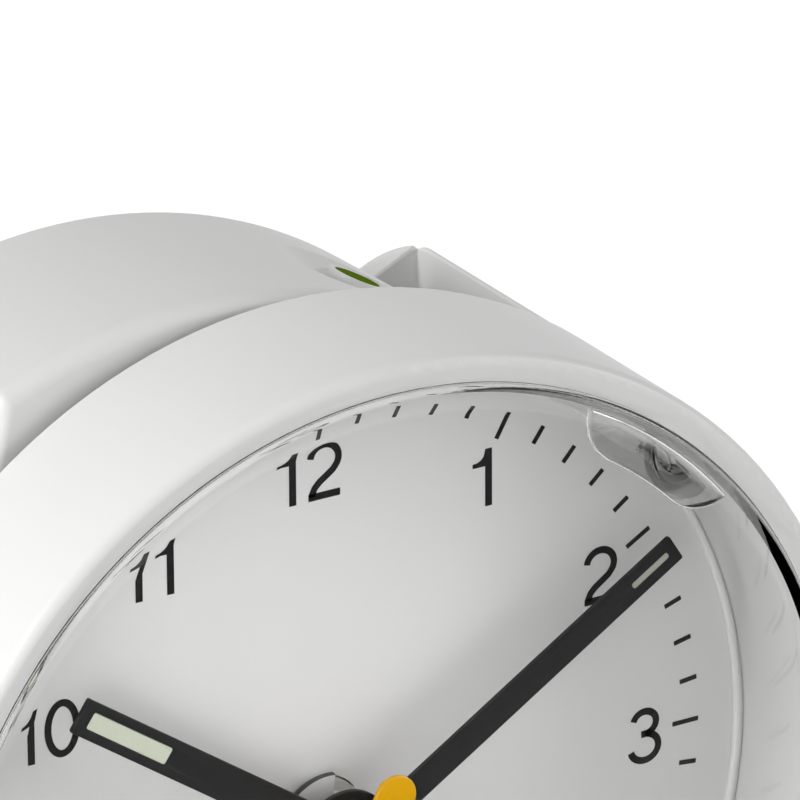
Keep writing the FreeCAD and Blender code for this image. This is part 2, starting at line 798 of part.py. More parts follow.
# Rocker, its bracket and the switch under it
def rocker_place():
    """The dial's frame, turned about the rocker's pivot so that the rocker's left end is up."""
    pivot = Vector(0, size_of("pivot_height"), 0)
    tilt = Rotation(Vector(0, 0, 1), -size_of("rocker_tilt"))
    return DIAL * Placement(pivot, tilt) * Placement(-pivot, Rotation())


def rocker_crown(inset, low, high):
    """A cone about the dial's axis that shapes the rocker's top, set in by a wall."""
    slope = "rocker_drop / (rocker_back - rocker_front)"
    near = size_of(f"rocker_radius - ({inset}) - {slope} * (-({high}) - rocker_front)")
    far = size_of(f"rocker_radius - ({inset}) - {slope} * (-({low}) - rocker_front)")
    return Part.makeCone(far, near, size_of(f"({high}) - ({low})"), Vector(0, 0, size_of(low)))


def edge_middle(edge):
    return edge.valueAt((edge.FirstParameter + edge.LastParameter) / 2)


def rounded_crown(front, back):
    """The rocker's crown with its front and back rims rounded."""
    crown = rocker_crown("0", back, front)
    for level, radius in ((front, "rocker_round"), (back, "rocker_back_round")):
        rims = [edge for edge in crown.Edges
                if len(edge.Vertexes) == 1 and abs(edge.BoundBox.ZLength) < 0.01
                and abs(edge_middle(edge).z - size_of(level)) < 0.01]
        crown = crown.makeFillet(size_of(radius), rims)
    return crown


def alarm_rocker():
    """A curved cap with walls all round, two hubs on the pin, a peg and a finger dimple."""
    front = "-rocker_front"
    back = "-rocker_back"
    block = slab("-rocker_half", "rocker_half", "rocker_skirt", "rocker_radius + 2", back, front)
    cap = block.common(rounded_crown(front, back))
    reach = size_of("rocker_half")
    ends = [edge for edge in cap.Edges
            if all(abs(abs(vertex.X) - reach) < 0.01 for vertex in edge.Vertexes)
            and edge_middle(edge).y > size_of("rocker_skirt") + 0.1]
    cap = cap.makeFillet(size_of("rocker_round * 0.9"), ends)
    inner_back = "-(rocker_back - rocker_wall)"
    inner_front = "-(rocker_front + rocker_wall)"
    hollow = slab("-(rocker_half - rocker_wall)", "rocker_half - rocker_wall",
                  "rocker_skirt - 1", "rocker_radius + 2", inner_back, inner_front)
    cap = cap.cut(hollow.common(rocker_crown("rocker_wall", inner_back, inner_front)))
    top = "rocker_radius - rocker_wall - rocker_drop + 0.6"
    for start, end in (("-(hub_front + hub_thickness)", "-hub_front"), ("-hub_back", "-(hub_back - hub_thickness)")):
        web = slab("-hub_radius", "hub_radius", "pivot_height", top, start, end)
        hub = rod("hub_radius", start, end, up="pivot_height")
        bore = rod("pin_radius + pivot_fit", start, end, up="pivot_height")
        cap = cap.fuse(web.fuse(hub).cut(bore))
    peg = slab("-peg_half", "peg_half", "peg_tip", top,
               "-(switch_behind + peg_thickness / 2)", "-(switch_behind - peg_thickness / 2)")
    gap = rod("pin_radius + 4 * pivot_fit", "-(switch_behind + peg_thickness)",
              "-(switch_behind - peg_thickness)", up="pivot_height")
    collar = rod("hub_radius", "-(switch_behind + peg_thickness / 2)",
                 "-(switch_behind - peg_thickness / 2)", up="pivot_height")
    cap = cap.fuse(peg.fuse(collar).cut(gap))
    # The marker is let into a low post that stands in the dimple.
    post = marker_rod("marker_radius + marker_collar", "rocker_wall", "0 - marker_sink")
    cap = cap.cut(dimple()).fuse(post).cut(marker_rod("marker_radius + press_fit", "rocker_wall + 1", "1"))
    return feature("alarm_rocker", cap.removeSplitter(), rocker_place())


def out_of_crown(angle, behind):
    """A place on the rocker's top, with z along the crown's own normal there."""
    radius = size_of(f"rocker_radius - rocker_drop * ({behind} - rocker_front) / (rocker_back - rocker_front)")
    turn = math.radians(size_of(angle))
    outwards = Vector(math.sin(turn), math.cos(turn), 0)
    there = outwards * radius + Vector(0, 0, -size_of(behind))
    return Placement(there, Rotation(Vector(0, 0, 1), outwards))


def dimple():
    """An egg-shaped hollow: part of a ball, drawn out along the clock's depth."""
    half_width = size_of("dimple_width / 2")
    half_length = size_of("dimple_length / 2")
    depth = size_of("dimple_depth")
    fall = half_width ** 2 / (2 * size_of("rocker_radius"))
    across_radius = half_width ** 2 / (2 * (depth - fall))
    along_radius = half_length ** 2 / (2 * depth)
    height = across_radius
    ball = Part.makeSphere(height)
    stretch = FreeCAD.Matrix()
    stretch.scale(1.0, 1.0, math.sqrt(along_radius * height) / height)
    egg = ball.transformGeometry(stretch)
    place = out_of_crown("dimple_angle", "dimple_centre")
    middle = place.multVec(Vector(0, 0, height - depth))
    egg.Placement = Placement(middle, Rotation(Vector(0, 0, 1), -size_of("dimple_angle")))
    return egg


def marker_rod(radius, below, above):
    """A short bar through the rocker's top at the marker's place."""
    place = out_of_crown("marker_angle", "marker_centre")
    start = place.multVec(Vector(0, 0, -size_of(below)))
    outwards = place.Rotation.multVec(Vector(0, 0, 1))
    return Part.makeCylinder(size_of(radius), size_of(f"({below}) + ({above})"), start, outwards)


def alarm_marker():
    """The round marker fills its hole up to the top of the post."""
    bar = marker_rod("marker_radius", "rocker_wall + 0.3", "0 - marker_sink")
    return feature("alarm_marker", bar, rocker_place())


def rocker_bracket():
    body = new_body("rocker_bracket")
    add_outline(body, box("bracket_half", "well_floor", "bracket_top"), "-ear_back", "-ear_front")
    for start, end in (("-(ear_front + ear_thickness)", "-ear_front"), ("-ear_back", "-(ear_back - ear_thickness)")):
        add_outline(body, box("hub_radius", "well_floor + 0.2", "pivot_height"), start, end)
        add_rounds(body, [("0", "pivot_height", "hub_radius")], start, end)
    cut_rounds(body, [("0", "pivot_height", "pin_radius + press_fit")], "-(ear_back + 1)", "-(ear_front - 1)")
    return body


def cylinder(label, radius, low, high, across="0", up="0"):
    """A plain round bar as a Part primitive bound to the sheet."""
    bar = doc.addObject("Part::Cylinder", label)
    bar.Label = label
    bar.setExpression("Radius", spelled(radius))
    bar.setExpression("Height", spelled(f"({high}) - ({low})"))
    bar.Placement = on_dial(across, up) * Placement(Vector(0, 0, size_of(low)), Rotation())
    return bar


def block(label, left, right, bottom, top, low, high):
    """A plain block as a Part primitive bound to the sheet."""
    brick = doc.addObject("Part::Box", label)
    brick.Label = label
    brick.setExpression("Length", spelled(f"({right}) - ({left})"))
    brick.setExpression("Width", spelled(f"({top}) - ({bottom})"))
    brick.setExpression("Height", spelled(f"({high}) - ({low})"))
    corner = Vector(size_of(left), size_of(bottom), size_of(low))
    brick.Placement = DIAL * Placement(corner, Rotation())
    return brick


def alarm_switch():
    """The switch's case stands on the bracket, between its ears, with a track for the slider's tongue."""
    body = new_body("alarm_switch")
    low = "-(switch_behind + switch_width / 2)"
    high = "-(switch_behind - switch_width / 2)"
    add_outline(body, box("switch_length / 2", "bracket_top", "switch_top"), low, high)
    track = box("slider_half + slider_travel + slider_fit",
                "switch_top - slider_tongue_depth - slider_fit", "switch_top + 1")
    cut_outline(body, track, "-(switch_behind + slider_tongue / 2 + slider_fit)",
                "-(switch_behind - slider_tongue / 2 - slider_fit)")
    return body


def switch_slider():
    """A fork with a tongue in the switch, which the rocker's peg pushes from side to side."""
    body = new_body("switch_slider")
    middle = "(-peg_lever * sin(rocker_tilt))"
    bottom = "switch_top + slider_gap"
    fork = "peg_half + slider_fork_gap"
    outer = [
        (f"{middle} - slider_half", bottom),
        (f"{middle} + slider_half", bottom),
        (f"{middle} + slider_half", f"{bottom} + slider_height"),
        (f"{middle} + {fork}", f"{bottom} + slider_height"),
        (f"{middle} + {fork}", "peg_tip - slider_gap"),
        (f"{middle} - ({fork})", "peg_tip - slider_gap"),
        (f"{middle} - ({fork})", f"{bottom} + slider_height"),
        (f"{middle} - slider_half", f"{bottom} + slider_height"),
    ]
    add_outline(body, outer, "-(switch_behind + slider_width / 2)", "-(switch_behind - slider_width / 2)")
    tongue = rectangle(f"{middle} - slider_half", f"{middle} + slider_half",
                       "switch_top - slider_tongue_depth", f"{bottom} + 0.2")
    add_outline(body, tongue, "-(switch_behind + slider_tongue / 2)", "-(switch_behind - slider_tongue / 2)")
    return body


# Hands
def bar_outline(start, end, width):
    """A hand's straight blade, pointing up, with its corners cut by a fifth of its width."""
    half = f"({width}) / 2"
    nick = f"({width}) / 5"
    return [
        (f"-{half}", start),
        (half, start),
        (half, f"({end}) - {nick}"),
        (f"{half} - {nick}", end),
        (f"-{half} + {nick}", end),
        (f"-{half}", f"({end}) - {nick}"),
    ]


def hand(label, turn, length, width, hub, bore, level, lume=None):
    """A flat hand with a round hub, and a slot for its lume if it has one."""
    body = new_body(label, on_dial(turn=turn))
    top = f"{level} + hand_thickness"
    add_outline(body, bar_outline("0", length, width), level, top)
    add_rounds(body, [("0", "0", hub)], level, top)
    if lume:
        start, long, wide = lume
        cut_outline(body, box(f"{wide} / 2", start, f"{start} + {long}"), f"{level} - 1", f"{top} + 1")
    cut_rounds(body, [("0", "0", bore)], f"{level} - 1", f"{top} + 1")
    return body


def lume(label, turn, start, long, wide, level):
    """The glowing strip that fills a hand's slot."""
    body = new_body(label, on_dial(turn=turn))
    add_outline(body, box(f"{wide} / 2 - lume_fit", f"{start} + lume_fit", f"{start} + {long} - lume_fit"),
                level, f"{level} + hand_thickness - lume_fit")
    return body


def spoke(radius, angle):
    """A point at a radius and a clockwise angle from the pointer."""
    return (f"{radius} * sin({angle})", f"{radius} * cos({angle})")


def alarm_hand():
    """A disc with a short pointer and an open notch in its rim."""
    body = new_body("alarm_hand", on_dial(turn="alarm_time"))
    top = "alarm_hand_level + alarm_disc_thickness"
    add_rounds(body, [("0", "0", "alarm_disc_radius")], "alarm_hand_level", top)
    add_outline(body, bar_outline("0", "alarm_hand_length", "alarm_hand_width"), "alarm_hand_level", top)
    notch = [
        spoke("alarm_hub_radius", "alarm_notch_start"),
        spoke("alarm_disc_radius * 2", "alarm_notch_start"),
        spoke("alarm_disc_radius * 2", "alarm_notch_end"),
        spoke("alarm_hub_radius", "alarm_notch_end"),
    ]
    cut_outline(body, notch, "alarm_hand_level - 1", f"{top} + 1")
    cut_rounds(body, [("0", "0", "alarm_tube_radius")], "alarm_hand_level - 1", f"{top} + 1")
    return body


def second_hand():
    """A slim pointer with a broad rounded tail and a raised hub."""
    body = new_body("second_hand", on_dial(turn="second_time"))
    top = "second_hand_level + hand_thickness"
    add_outline(body, bar_outline("0", "second_hand_length", "second_hand_width"), "second_hand_level", top)
    tail = "second_tail_length - second_tail_width / 2"
    add_outline(body, box("second_tail_width / 2", f"-({tail})", "0"), "second_hand_level", top)
    add_rounds(body, [("0", f"-({tail})", "second_tail_width / 2")], "second_hand_level", top)
    add_rounds(body, [("0", "0", "second_hub_radius")], "second_hand_level",
               "second_hand_level + second_hub_height")
    cut_rounds(body, [("0", "0", "second_arbor_radius")], "second_hand_level - 1",
               "second_hand_level + second_hub_height - hand_thickness")
    return body


# Movement: plates and case
def third_at():
    return ("third_distance * cos(third_angle)", "third_distance * sin(third_angle)")


def fifth_at():
    return ("fifth_distance * cos(fifth_angle)", "fifth_distance * sin(fifth_angle)")


def rotor_at():
    return ("(fifth_distance + rotor_distance) * cos(fifth_angle)",
            "(fifth_distance + rotor_distance) * sin(fifth_angle)")


def time_reach():
    """Distance from the minute wheel's arbor to the time knob's shaft."""
    return size_of("motion_distance * (minute_wheel_teeth + time_pinion_teeth) "
                   "/ (cannon_pinion_teeth + minute_wheel_teeth)")


def minute_wheel_at():
    """The arbor that stands at the right distance both from the centre and from the time knob's shaft."""
    knob = math.hypot(size_of("knob_across"), size_of("knob_up"))
    near = size_of("motion_distance")
    bend = math.acos((near ** 2 + knob ** 2 - time_reach() ** 2) / (2 * near * knob))
    turn = math.atan2(size_of("knob_up"), size_of("knob_across")) - bend
    return (str(near * math.cos(turn)), str(near * math.sin(turn)))


def bored(places, radius):
    return [(across, up, radius) for across, up in places]


POST_PLACES = [
    (f"{side} * (movement_half_width - post_inset)", up)
    for side in (1, -1) for up in ("movement_top - post_inset", "-(movement_bottom - movement_corner - 1)")
]
STATOR_POSTS = [("-(coil_length - 0.8)", "-(coil_below - 4)"), ("coil_length * 0.28", "-(coil_below + 2.1)")]


def movement_front_plate():
    """A disc behind the dial with the centre bush on it."""
    body = new_body("movement_front_plate")
    add_rounds(body, [("0", "0", "dial_radius")], "-plate_back", "-dial_thickness")
    add_rounds(body, [("0", "0", "bush_radius")], "-plate_back", "bush_rise")
    cut_rounds(body, [("0", "0", "bush_bore")], "-(plate_back + 1)", "bush_rise + 1")
    cut_rounds(body, bored(POST_PLACES, "movement_screw_radius"), "-(plate_back + 1)", "-dial_thickness")
    return body


def movement_mid_plate():
    body = new_body("movement_mid_plate")
    low = "-(mid_plate_front + mid_plate_thickness)"
    half = "movement_half_width - movement_wall"
    top = "movement_top - movement_wall"
    # The two upper corners are cut out for the screw posts.
    corner = "(post_inset + post_radius + press_fit - movement_wall)"
    plate = [
        (f"-({half})", "-mid_plate_bottom"),
        (half, "-mid_plate_bottom"),
        (half, f"{top} - {corner}"),
        (f"{half} - {corner}", f"{top} - {corner}"),
        (f"{half} - {corner}", top),
        (f"-({half} - {corner})", top),
        (f"-({half} - {corner})", f"{top} - {corner}"),
        (f"-({half})", f"{top} - {corner}"),
    ]
    add_outline(body, plate, low, "-mid_plate_front")
    far = f"{low} - 1"
    near = "-(mid_plate_front - 1)"
    cut_rounds(body, [("0", "0", "cannon_radius + arbor_fit")], far, near)
    arbors = [third_at(), rotor_at(), minute_wheel_at()]
    cut_rounds(body, bored(arbors, "arbor_radius + arbor_fit"), far, near)
    shafts = [("knob_across", "knob_up"), ("-knob_across", "knob_up")]
    cut_rounds(body, bored(shafts, "shaft_radius + shaft_fit"), far, near)
    return body


def tray(half, below, top):
    """The movement's outline: a rectangle with its two lower corners cut off."""
    return [
        (f"-({half} - movement_corner)", f"-{below}"),
        (f"{half} - movement_corner", f"-{below}"),
        (half, f"-({below} - movement_corner)"),
        (half, top),
        (f"-{half}", top),
        (f"-{half}", f"-({below} - movement_corner)"),
    ]


def movement_case():
    """The back half of the movement: a tray with posts for the screws, the stator and the board."""
    body = new_body("movement_case")
    outer = tray("movement_half_width", "movement_bottom", "movement_top")
    inner = tray("(movement_half_width - movement_wall)", "(movement_bottom - movement_wall)",
                 "movement_top - movement_wall")
    add_outline(body, outer, "-movement_depth", "-plate_back")
    cut_outline(body, inner, "-movement_inside", "-plate_back")
    add_rounds(body, bored(POST_PLACES, "post_radius"), "-movement_inside - 0.2", "-plate_back")
    add_rounds(body, bored(STATOR_POSTS, "arbor_radius * 1.8"), "-movement_inside - 0.2",
               "-(stator_front + stator_thickness)")
    board_posts = [(f"{side} * (board_half_width - 1.5)", "board_top - 1.5") for side in (1, -1)]
    board_posts.append(("0", "board_bottom + 1.5"))
    add_rounds(body, bored(board_posts, "arbor_radius * 2"), "-board_front", "-movement_depth")
    cut_rounds(body, bored(POST_PLACES, "movement_screw_radius"), "-(movement_depth + 1)", "-plate_back")
    add_rounds(body, bored([fifth_at()], "arbor_radius"), "-movement_inside - 0.2", "-(second_wheel_front - 0.2)")
    arbors = [("0", "0"), third_at(), rotor_at()]
    cut_rounds(body, bored(arbors, "arbor_radius + arbor_fit"), "-(movement_depth - 0.2)",
               "-(movement_inside - 0.1)")
    shafts = [("knob_across", "knob_up"), ("-knob_across", "knob_up")]
    cut_rounds(body, bored(shafts, "shaft_radius + shaft_fit"), "-(movement_depth + 1)",
               "-(movement_inside - 0.1)")
    return body


def movement_screws():
    screws = []
    for across, up in POST_PLACES:
        head = rod("movement_screw_head", "-(movement_depth + movement_screw_head_height)",
                   "-movement_depth", across, up)
        shank = rod("movement_screw_radius - press_fit", "-movement_depth", "-(dial_thickness + 0.2)", across, up)
        screws.append(head.fuse(shank).removeSplitter())
    return feature("movement_screws", Part.makeCompound(screws))


# Movement: motor and wheels
def third_module():
    """The third pinion and the centre wheel fill the same distance as the second pinion's pair."""
    return size_of("2 * third_distance / (third_pinion_teeth + centre_wheel_teeth)")


def motion_module(first, second):
    return size_of(f"2 * motion_distance / ({first} + {second})")


def alarm_module():
    reach = math.hypot(size_of("knob_across"), size_of("knob_up"))
    return 2 * reach / size_of("alarm_wheel_teeth + alarm_pinion_teeth")


def direction_to(place):
    """The direction of a place from the dial's centre, in degrees round from x."""
    return math.degrees(math.atan2(size_of(place[1]), size_of(place[0])))


PIVOT_BACK = "-(movement_depth - 0.35)"
PIVOT_FRONT = "-(mid_plate_front + 0.1)"


def second_wheel():
    """The seconds arbor runs from the hand to the back of the case, with a wheel and a pinion."""
    arbor = rod("second_arbor_radius", PIVOT_BACK, "second_hand_level + second_hub_height - hand_thickness - 0.1")
    wheel = gear("second_wheel_teeth", size_of("train_module"),
                 "-(second_wheel_front + wheel_thickness)", "-second_wheel_front")
    pinion = gear("second_pinion_teeth", size_of("train_module"),
                  "-second_wheel_front", "-(second_wheel_front - pinion_thickness - 0.2)")
    foot = rod("arbor_radius", PIVOT_BACK, "-(second_wheel_front + wheel_thickness)")
    return feature("second_wheel", arbor.fuse([foot, wheel, pinion]).removeSplitter())


def third_wheel():
    turn = meshing_turn("second_pinion_teeth", 0.0, "third_wheel_teeth", size_of("third_angle"))
    arbor = rod("arbor_radius", PIVOT_BACK, PIVOT_FRONT)
    wheel = gear("third_wheel_teeth", size_of("train_module"),
                 "-(third_wheel_front + wheel_thickness)", "-third_wheel_front", turn)
    pinion = gear("third_pinion_teeth", third_module(),
                  "-third_wheel_front", "-(third_wheel_front - pinion_thickness - 0.2)")
    return feature("third_wheel", arbor.fuse([wheel, pinion]).removeSplitter(), on_dial(*third_at()))


def centre_wheel():
    """The wheel that carries the minutes turns on the cannon pinion and drives it by friction."""
    direction = size_of("third_angle") + 180
    turn = meshing_turn("third_pinion_teeth", 0.0, "centre_wheel_teeth", direction)
    wheel = gear("centre_wheel_teeth", third_module(),
                 "-(centre_wheel_front + wheel_thickness)", "-centre_wheel_front", turn)
    hole = rod("cannon_radius + arbor_fit", "-(centre_wheel_front + 1)", "-(centre_wheel_front - 1)")
    return feature("centre_wheel", wheel.cut(hole))


def fifth_wheel():
    """This wheel turns on a post of the case, because the centre wheel covers its front."""
    turn = meshing_turn("second_wheel_teeth", 0.0, "fifth_pinion_teeth", size_of("fifth_angle"))
    wheel = gear("fifth_wheel_teeth", size_of("train_module"),
                 "-(fifth_wheel_front + wheel_thickness)", "-fifth_wheel_front")
    pinion = gear("fifth_pinion_teeth", size_of("train_module"),
                  "-fifth_wheel_front", "-(fifth_wheel_front - pinion_thickness - 0.1)", turn)
    bore = rod("arbor_radius + arbor_fit", "-movement_depth", "0")
    return feature("fifth_wheel", wheel.fuse(pinion).cut(bore).removeSplitter(), on_dial(*fifth_at()))


def rotor():
    """The motor's round magnet on its arbor, with the pinion that drives the train."""
    turn = meshing_turn("fifth_wheel_teeth", 0.0, "rotor_pinion_teeth", size_of("fifth_angle"))
    arbor = rod("arbor_radius", PIVOT_BACK, PIVOT_FRONT)
    magnet = rod("magnet_radius", "-(magnet_front + magnet_length)", "-magnet_front")
    pinion = gear("rotor_pinion_teeth", size_of("train_module"),
                  "-(fifth_wheel_front + pinion_thickness)", "-(magnet_front + magnet_length)", turn)
    return feature("rotor", arbor.fuse([magnet, pinion]).removeSplitter(), on_dial(*rotor_at()))


def stator():
    """A flat yoke round the rotor, with two legs down to the ends of the coil's core."""
    low = "-(stator_front + stator_thickness)"
    high = "-stator_front"
    across, up = rotor_at()
    top = "-(coil_below - coil_radius - 3.6)"
    inner = "-(coil_below - coil_radius - 0.6)"
    left = "-(coil_length + 0.5)"
    bar = slab(left, across, inner, top, low, high)
    left_leg = slab(left, f"{left} + 2.6", "-(coil_below + 2.4)", top, low, high)
    right_leg = slab("coil_length * 0.19", "coil_length * 0.19 + 2.6", "-(coil_below + 2.4)", top, low, high)
    eye = rod("magnet_radius + magnet_gap + 1.2", low, high, across, up)
    hole = rod("magnet_radius + magnet_gap", low, high, across, up)
    return feature("stator", bar.fuse([left_leg, right_leg, eye]).cut(hole).removeSplitter())


def coil_and_core():
    """The coil lies along x between the stator's legs, on a round iron core."""
    left = size_of("-(coil_length + 0.5) + 2.7")
    right = size_of("coil_length * 0.19 - 0.1")
    lap = 2.5
    start = Vector(left, -size_of("coil_below"), -size_of("coil_centre"))
    along = Vector(1, 0, 0)
    whole = Part.makeCylinder(size_of("coil_radius"), right - left, start, along)
    bore = Part.makeCylinder(size_of("core_radius + press_fit"), right - left, start, along)
    feature("coil", whole.cut(bore))
    core = Part.makeCylinder(size_of("core_radius"), right - left + 2 * lap, start - along * lap, along)
    low = "-(stator_front + stator_thickness)"
    legs = slab("-coil_length * 2", "coil_length * 2", "-(coil_below + 3)", "-(coil_below - 3)", low, "-stator_front")
    gap = slab(str(left - 0.05), str(right + 0.05), "-(coil_below + 3)", "-(coil_below - 3)", low, "-stator_front")
    feature("coil_core", core.cut(legs.cut(gap)))


def cannon_pinion():
    """The tube that carries the minute hand, with the pinion of the motion work on it."""
    tube = rod("cannon_radius", "-(centre_wheel_front + wheel_thickness + 0.2)",
               "minute_hand_level + hand_thickness + 0.1")
    leaves = gear("cannon_pinion_teeth", motion_module("cannon_pinion_teeth", "minute_wheel_teeth"),
                  "-(minute_wheel_front + pinion_thickness)", "-(minute_wheel_front - 0.2)")
    bore = rod("cannon_bore", "-movement_depth", "crystal_front")
    return feature("cannon_pinion", tube.fuse(leaves).cut(bore).removeSplitter())


def minute_wheel():
    """The wheel between the cannon pinion and the hour wheel, which the time knob turns too."""
    place = minute_wheel_at()
    turn = meshing_turn("cannon_pinion_teeth", 0.0, "minute_wheel_teeth", direction_to(place))
    arbor = rod("arbor_radius", "-(mid_plate_front + mid_plate_thickness - 0.1)", "-minute_wheel_front")
    wheel = gear("minute_wheel_teeth", motion_module("cannon_pinion_teeth", "minute_wheel_teeth"),
                 "-(minute_wheel_front + wheel_thickness)", "-minute_wheel_front", turn)
    pinion = gear("minute_pinion_teeth", motion_module("minute_pinion_teeth", "hour_wheel_teeth"),
                  "-minute_wheel_front", "-(hour_wheel_front - 0.2)")
    return feature("minute_wheel", arbor.fuse([wheel, pinion]).removeSplitter(), on_dial(*place))


def hour_wheel():
    direction = direction_to(minute_wheel_at()) + 180
    turn = meshing_turn("minute_pinion_teeth", 0.0, "hour_wheel_teeth", direction)
    tube = rod("hour_tube_radius", "-(hour_wheel_front + wheel_thickness)",
               "hour_hand_level + hand_thickness + 0.1")
    wheel = gear("hour_wheel_teeth", motion_module("minute_pinion_teeth", "hour_wheel_teeth"),
                 "-(hour_wheel_front + wheel_thickness)", "-hour_wheel_front", turn)
    bore = rod("hour_bore", "-movement_depth", "crystal_front")
    return feature("hour_wheel", tube.fuse(wheel).cut(bore).removeSplitter())


def alarm_wheel():
    direction = direction_to(("-knob_across", "knob_up"))
    turn = meshing_turn("alarm_pinion_teeth", 0.0, "alarm_wheel_teeth", direction + 180)
    tube = rod("alarm_tube_radius", "-(alarm_wheel_front + wheel_thickness)",
               "alarm_hand_level + alarm_disc_thickness + 0.1")
    wheel = gear("alarm_wheel_teeth", alarm_module(),
                 "-(alarm_wheel_front + wheel_thickness)", "-alarm_wheel_front", turn)
    bore = rod("alarm_bore", "-movement_depth", "crystal_front")
    return feature("alarm_wheel", tube.fuse(wheel).cut(bore).removeSplitter())


def set_shaft(label, side, teeth, module, front, turn):
    """A knob's shaft with the pinion that it turns, reaching into the knob."""
    shaft = rod("shaft_radius", "-(drum_depth + knob_gap + knob_bore_depth)", f"-({front} - 0.15)")
    pinion = gear(teeth, module, f"-({front} + pinion_thickness)", f"-({front} - 0.1)", turn)
    return feature(label, shaft.fuse(pinion).removeSplitter(), on_dial(f"{side} * knob_across", "knob_up"))


def time_set_shaft():
    across, up = minute_wheel_at()
    run = size_of(f"knob_across - ({across})")
    rise = size_of(f"knob_up - ({up})")
    direction = math.degrees(math.atan2(rise, run))
    first = meshing_turn("cannon_pinion_teeth", 0.0, "minute_wheel_teeth", direction_to((across, up)))
    turn = meshing_turn("minute_wheel_teeth", first, "time_pinion_teeth", direction)
    return set_shaft("time_set_shaft", 1, "time_pinion_teeth",
                     motion_module("cannon_pinion_teeth", "minute_wheel_teeth"), "minute_wheel_front", turn)


def alarm_set_shaft():
    return set_shaft("alarm_set_shaft", -1, "alarm_pinion_teeth", alarm_module(), "alarm_wheel_front", 0.0)


def set_knob(label, side):
    """A round knob behind the drum, pressed on its shaft."""
    body = new_body(label, on_dial(f"{side} * knob_across", "knob_up"))
    low = "-knob_back"
    high = "-(drum_depth + knob_gap)"
    add_rounds(body, [("0", "0", "knob_radius")], low, high)
    rounded(body, "knob_edge_round", round_edge("knob_radius", low))
    cut_rounds(body, [("0", "0", "shaft_radius")], "-(drum_depth + knob_gap + knob_bore_depth)", high)
    return body


# Board, sounder and battery
def control_chip():
    return block("control_chip", "-chip_size / 2", "chip_size / 2", "knob_up - chip_size / 2",
                 "knob_up + chip_size / 2", "-(board_front + board_thickness + chip_height)",
                 "-(board_front + board_thickness)")


def quartz_can():
    """The crystal's metal can lies on the board, above the chip."""
    start = Vector(-size_of("can_length / 2"), size_of("board_top - can_inset"),
                   -size_of("board_front + board_thickness + can_radius"))
    return feature("quartz_can", Part.makeCylinder(
        size_of("can_radius"), size_of("can_length"), start, Vector(1, 0, 0)))


def battery():
    """The cell lies along x with its cap at the left, against the positive contact."""
    along = Vector(1, 0, 0)
    start = Vector(size_of("cell_left"), -size_of("cell_below"), -size_of("cell_behind"))
    nub = Part.makeCylinder(size_of("cell_nub_radius"), size_of("cell_nub_length"), start, along)
    can_start = start + along * size_of("cell_nub_length")
    can = Part.makeCylinder(size_of("cell_radius"), size_of("cell_length - cell_nub_length"), can_start, along)
    return feature("battery", can.fuse(nub).removeSplitter())


def positive_contact():
    return block("positive_contact", "-bay_half_width", "-(bay_half_width - contact_thickness)",
                 "-(cell_below + contact_half_width)", "-(cell_below - contact_half_width)",
                 "-(cell_behind + contact_half_width)", "-(cell_behind - contact_half_width)")


def negative_contact():
    """A leaf spring: a plate on the bay's end wall, folded over to press on the cell's base."""
    body = new_body("negative_contact")
    leaf = "contact_thickness"
    wall = f"bay_half_width - {leaf}"
    leaf_outline = [
        ("bay_half_width", "-(cell_below + contact_half_width)"),
        ("bay_half_width", "-(cell_below - contact_half_width)"),
        (f"{wall} - 0.1", "-(cell_below - contact_half_width)"),
        ("cell_right + 0.05", "-cell_below"),
        ("cell_right + 1", "-(cell_below + contact_half_width - 1)"),
        (f"cell_right + 1 + 0.9 * {leaf}", "-(cell_below + contact_half_width - 1.1)"),
        (f"cell_right + 0.05 + 1.1 * {leaf}", "-cell_below"),
        (f"{wall} - 0.05", f"-(cell_below - contact_half_width + 1.5 * {leaf})"),
        (wall, "-(cell_below + contact_half_width)"),
    ]
    add_outline(body, leaf_outline, "-(cell_behind + contact_half_width - 1)",
                "-(cell_behind - contact_half_width + 1)")
    return body


def battery_door():
    body = new_body("battery_door")
    panel = box("door_half_width - door_fit", "-(cell_below + door_half_height - door_fit)",
                "-(cell_below - door_half_height + door_fit)")
    add_outline(body, panel, "-drum_depth", "-(drum_depth - door_thickness + door_fit)")
    return body


def build():
    front_housing()
    rear_housing()
    rubber_feet()
    case_screws()
    crystal()
    light_guide()
    dial_led()
    dial_plate()
    alarm_rocker()
    alarm_marker()
    rocker_bracket()
    cylinder("rocker_pin", "pin_radius", "-ear_back", "-ear_front", up="pivot_height")
    alarm_switch()
    switch_slider()
    alarm_hand()
    hand("hour_hand", "hour_time", "hour_hand_length", "hour_hand_width", "hour_hub_radius",
         "hour_tube_radius", "hour_hand_level", ("hour_lume_start", "hour_lume_length", "hour_lume_width"))
    lume("hour_lume", "hour_time", "hour_lume_start", "hour_lume_length", "hour_lume_width", "hour_hand_level")
    hand("minute_hand", "minute_time", "minute_hand_length", "minute_hand_width", "minute_hub_radius",
         "cannon_radius", "minute_hand_level",
         ("minute_lume_start", "minute_lume_length", "minute_lume_width"))
    lume("minute_lume", "minute_time", "minute_lume_start", "minute_lume_length", "minute_lume_width",
         "minute_hand_level")
    second_hand()
    movement_front_plate()
    movement_mid_plate()
    movement_case()
    movement_screws()
    second_wheel()
    third_wheel()
    centre_wheel()
    fifth_wheel()
    rotor()
    stator()
    coil_and_core()
    cannon_pinion()
    minute_wheel()
    hour_wheel()
    alarm_wheel()
    time_set_shaft()
    alarm_set_shaft()
    set_knob("time_set_knob", 1)
    set_knob("alarm_set_knob", -1)
    block("circuit_board", "-board_half_width", "board_half_width", "board_bottom", "board_top",
          "-(board_front + board_thickness)", "-board_front")
    control_chip()
    quartz_can()
    cylinder("buzzer", "buzzer_radius", "-drum_inside", "-(drum_inside - buzzer_height)", up="knob_up")
    battery()
    positive_contact()
    negative_contact()
    battery_door()


PIECES = ("PartDesign::Body", "Part::Feature", "Part::Cylinder", "Part::Box")


